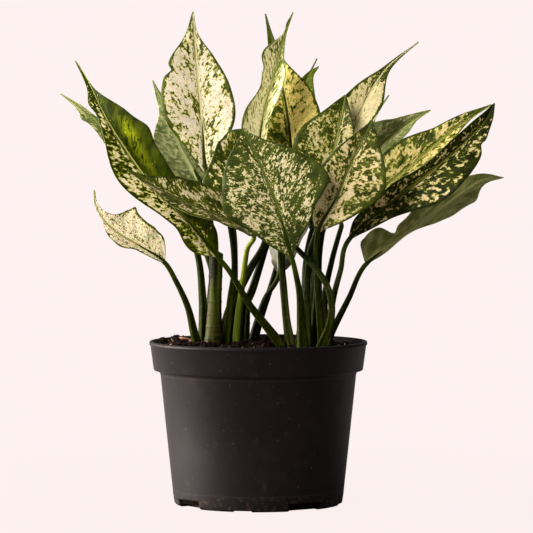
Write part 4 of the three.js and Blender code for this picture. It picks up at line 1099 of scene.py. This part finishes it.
def upperMaterial(name, look, length, seed):
    maker = Finish(name)
    spot = Leafwise(maker, length, look["slant"])
    cream = creamField(spot, look, seed)
    tone = spot.marks(look["tone"], seed + 7, 3).ease(0.36, 0.66)
    fine = spot.marks(look["fine"], seed + 3)
    green = maker.mix(tone * 0.75 + (fine - 0.5) * 0.6, look["dark"], look["mid"])
    # patches of painted light, and of painted shade where the glow colour is dark
    for *place, strength in look["paintedLightAndShade"]:
        lit = spot.spotAt(*place) * spot.marks(look["glowMark"], seed + 5).ease(0.4, 0.54) * strength
        green = maker.mix(lit, green, look["glow"])
    pale = maker.mix(fine.ease(0.36, 0.66), look["pale"], look["shade"])
    flecks = spot.marks(look["fleck"], seed + 11, 1).ease(0.6, 0.68) * look["flecks"]
    vein = spot.vein ** 6 * spot.away.ease(1, 4)
    rib = 1 - (spot.away / (look["ribWidth"] * (1.25 - spot.share))).ease(0.7, 1.5)
    # from the green through yellow to cream, then the flecks, veins, midrib and green margin
    colour = maker.coats(
        green, (cream.ease(*look["yellowAt"]) * 0.85, look["yellow"]),
        (cream.ease(*look["warmAt"]), look["warm"]), (cream.ease(*look["paleAt"]), pale),
        (flecks, look["mid"]), (vein * look["veins"], look["mid"]), (rib, look["rib"]),
        (spot.half.ease(*look["edgeAt"]) * 0.7, green))
    skin = maker.cloud(maker.join(spot.along / 0.5, spot.across / 0.5, 2), 1)
    height = fine * 0.35 - vein * 0.5 + skin * 0.12
    return maker.done(colour, look["gloss"] + fine * 0.12, look["shine"], (0.5, 0.4, height), {
        "Subsurface Weight": 0.06, "Subsurface Radius": (0.6, 0.8, 0.3), "Subsurface Scale": 0.0015})


def underMaterial(name, dark, light, blotch):
    maker = Finish(name)
    spot = Leafwise(maker, 100)
    spots = spot.marks((2.2, 4), 1).ease(0.5, 0.58)
    tone = spot.marks((8, 14), 4, 3).ease(0.35, 0.65)
    vein = spot.vein ** 8
    colour = maker.coats(
        dark, (tone, light), (spots * blotch, (196, 192, 142)), (vein * 0.1, (150, 156, 100)),
        (1 - spot.away.ease(0.8, 2.2), light))
    return maker.done(colour, 0.5, 0.15, (0.4, 0.4, vein))


def stalkMaterial(name, foot, middle, top, light):
    maker = Finish(name)
    along, around, way = maker.split(leafPlace(maker))
    streak = maker.cloud(maker.join(along / 18, around / 0.8, 2), 3)
    fleck = maker.cloud(maker.join(along / 4, around / 1.2, 5), 1).ease(0.62, 0.7)
    colour = maker.coats(
        foot, (way.ease(0.2, 0.6), middle), (way.ease(0.7, 1), top), (streak.ease(0.5, 0.75) * 0.4, light),
        (fleck * 0.07, (150, 156, 70)))
    return maker.done(colour, 0.5, 0.03, (0.4, 0.3, streak))


# an underside's dark and light tone and how far its pale blotches show; then the colours of a
# stalk at its foot, middle and top, and of its streaks
unders = {
    "greyUnder": ((64, 74, 34), (106, 112, 62), 0.35),
    "paleUnder": ((84, 94, 48), (134, 140, 86), 0.5),
    "hazyUnder": ((76, 76, 54), (104, 100, 80), 0),
    "oliveUnder": ((92, 101, 38), (156, 156, 92), 0.05),
}
stalks = {
    # greenStalk is darker than the stalks' own green, partly painted shade under the leaves; its pale streaks
    # are partly painted highlights
    "greenStalk": ((28, 33, 0), (15, 21, 0), (34, 44, 0), (78, 88, 18)),
    "paleStalk": ((70, 80, 16), (96, 106, 28), (116, 126, 44), (150, 156, 84)),
}


def makeLeaves():
    skins = {name: underMaterial(name, *row) for name, row in unders.items()}
    skins.update({name: stalkMaterial(name, *row) for name, row in stalks.items()})
    for seed, (name, row) in enumerate(leaves.items()):
        leaf = {**commonLeaf, **row}
        look = {**commonLook, **looks.get(name, {})}
        title = pieceName(name)
        route = Route(leaf)
        points, faces, which, where = bladeMesh(leaf, route, seed)
        tube, tubeFaces, tubeWhere = stalkMesh(leaf, route)
        upper = upperMaterial("upper" + title, look, route.blade, seed)
        mesh = meshFrom(
            title, np.concatenate([points, tube]), faces + [f + len(points) for f in tubeFaces],
            [upper, skins[look["under"]], skins[look["stalk"]]], which + [2] * len(tubeFaces))
        attribute = mesh.attributes.new("leafPlace", "FLOAT_VECTOR", "POINT")
        attribute.data.foreach_set("vector", np.concatenate([where, tubeWhere]).astype(np.float32).ravel())
        dress(newObject(title, mesh), name)


makeLeaves()
print("leaves: done")
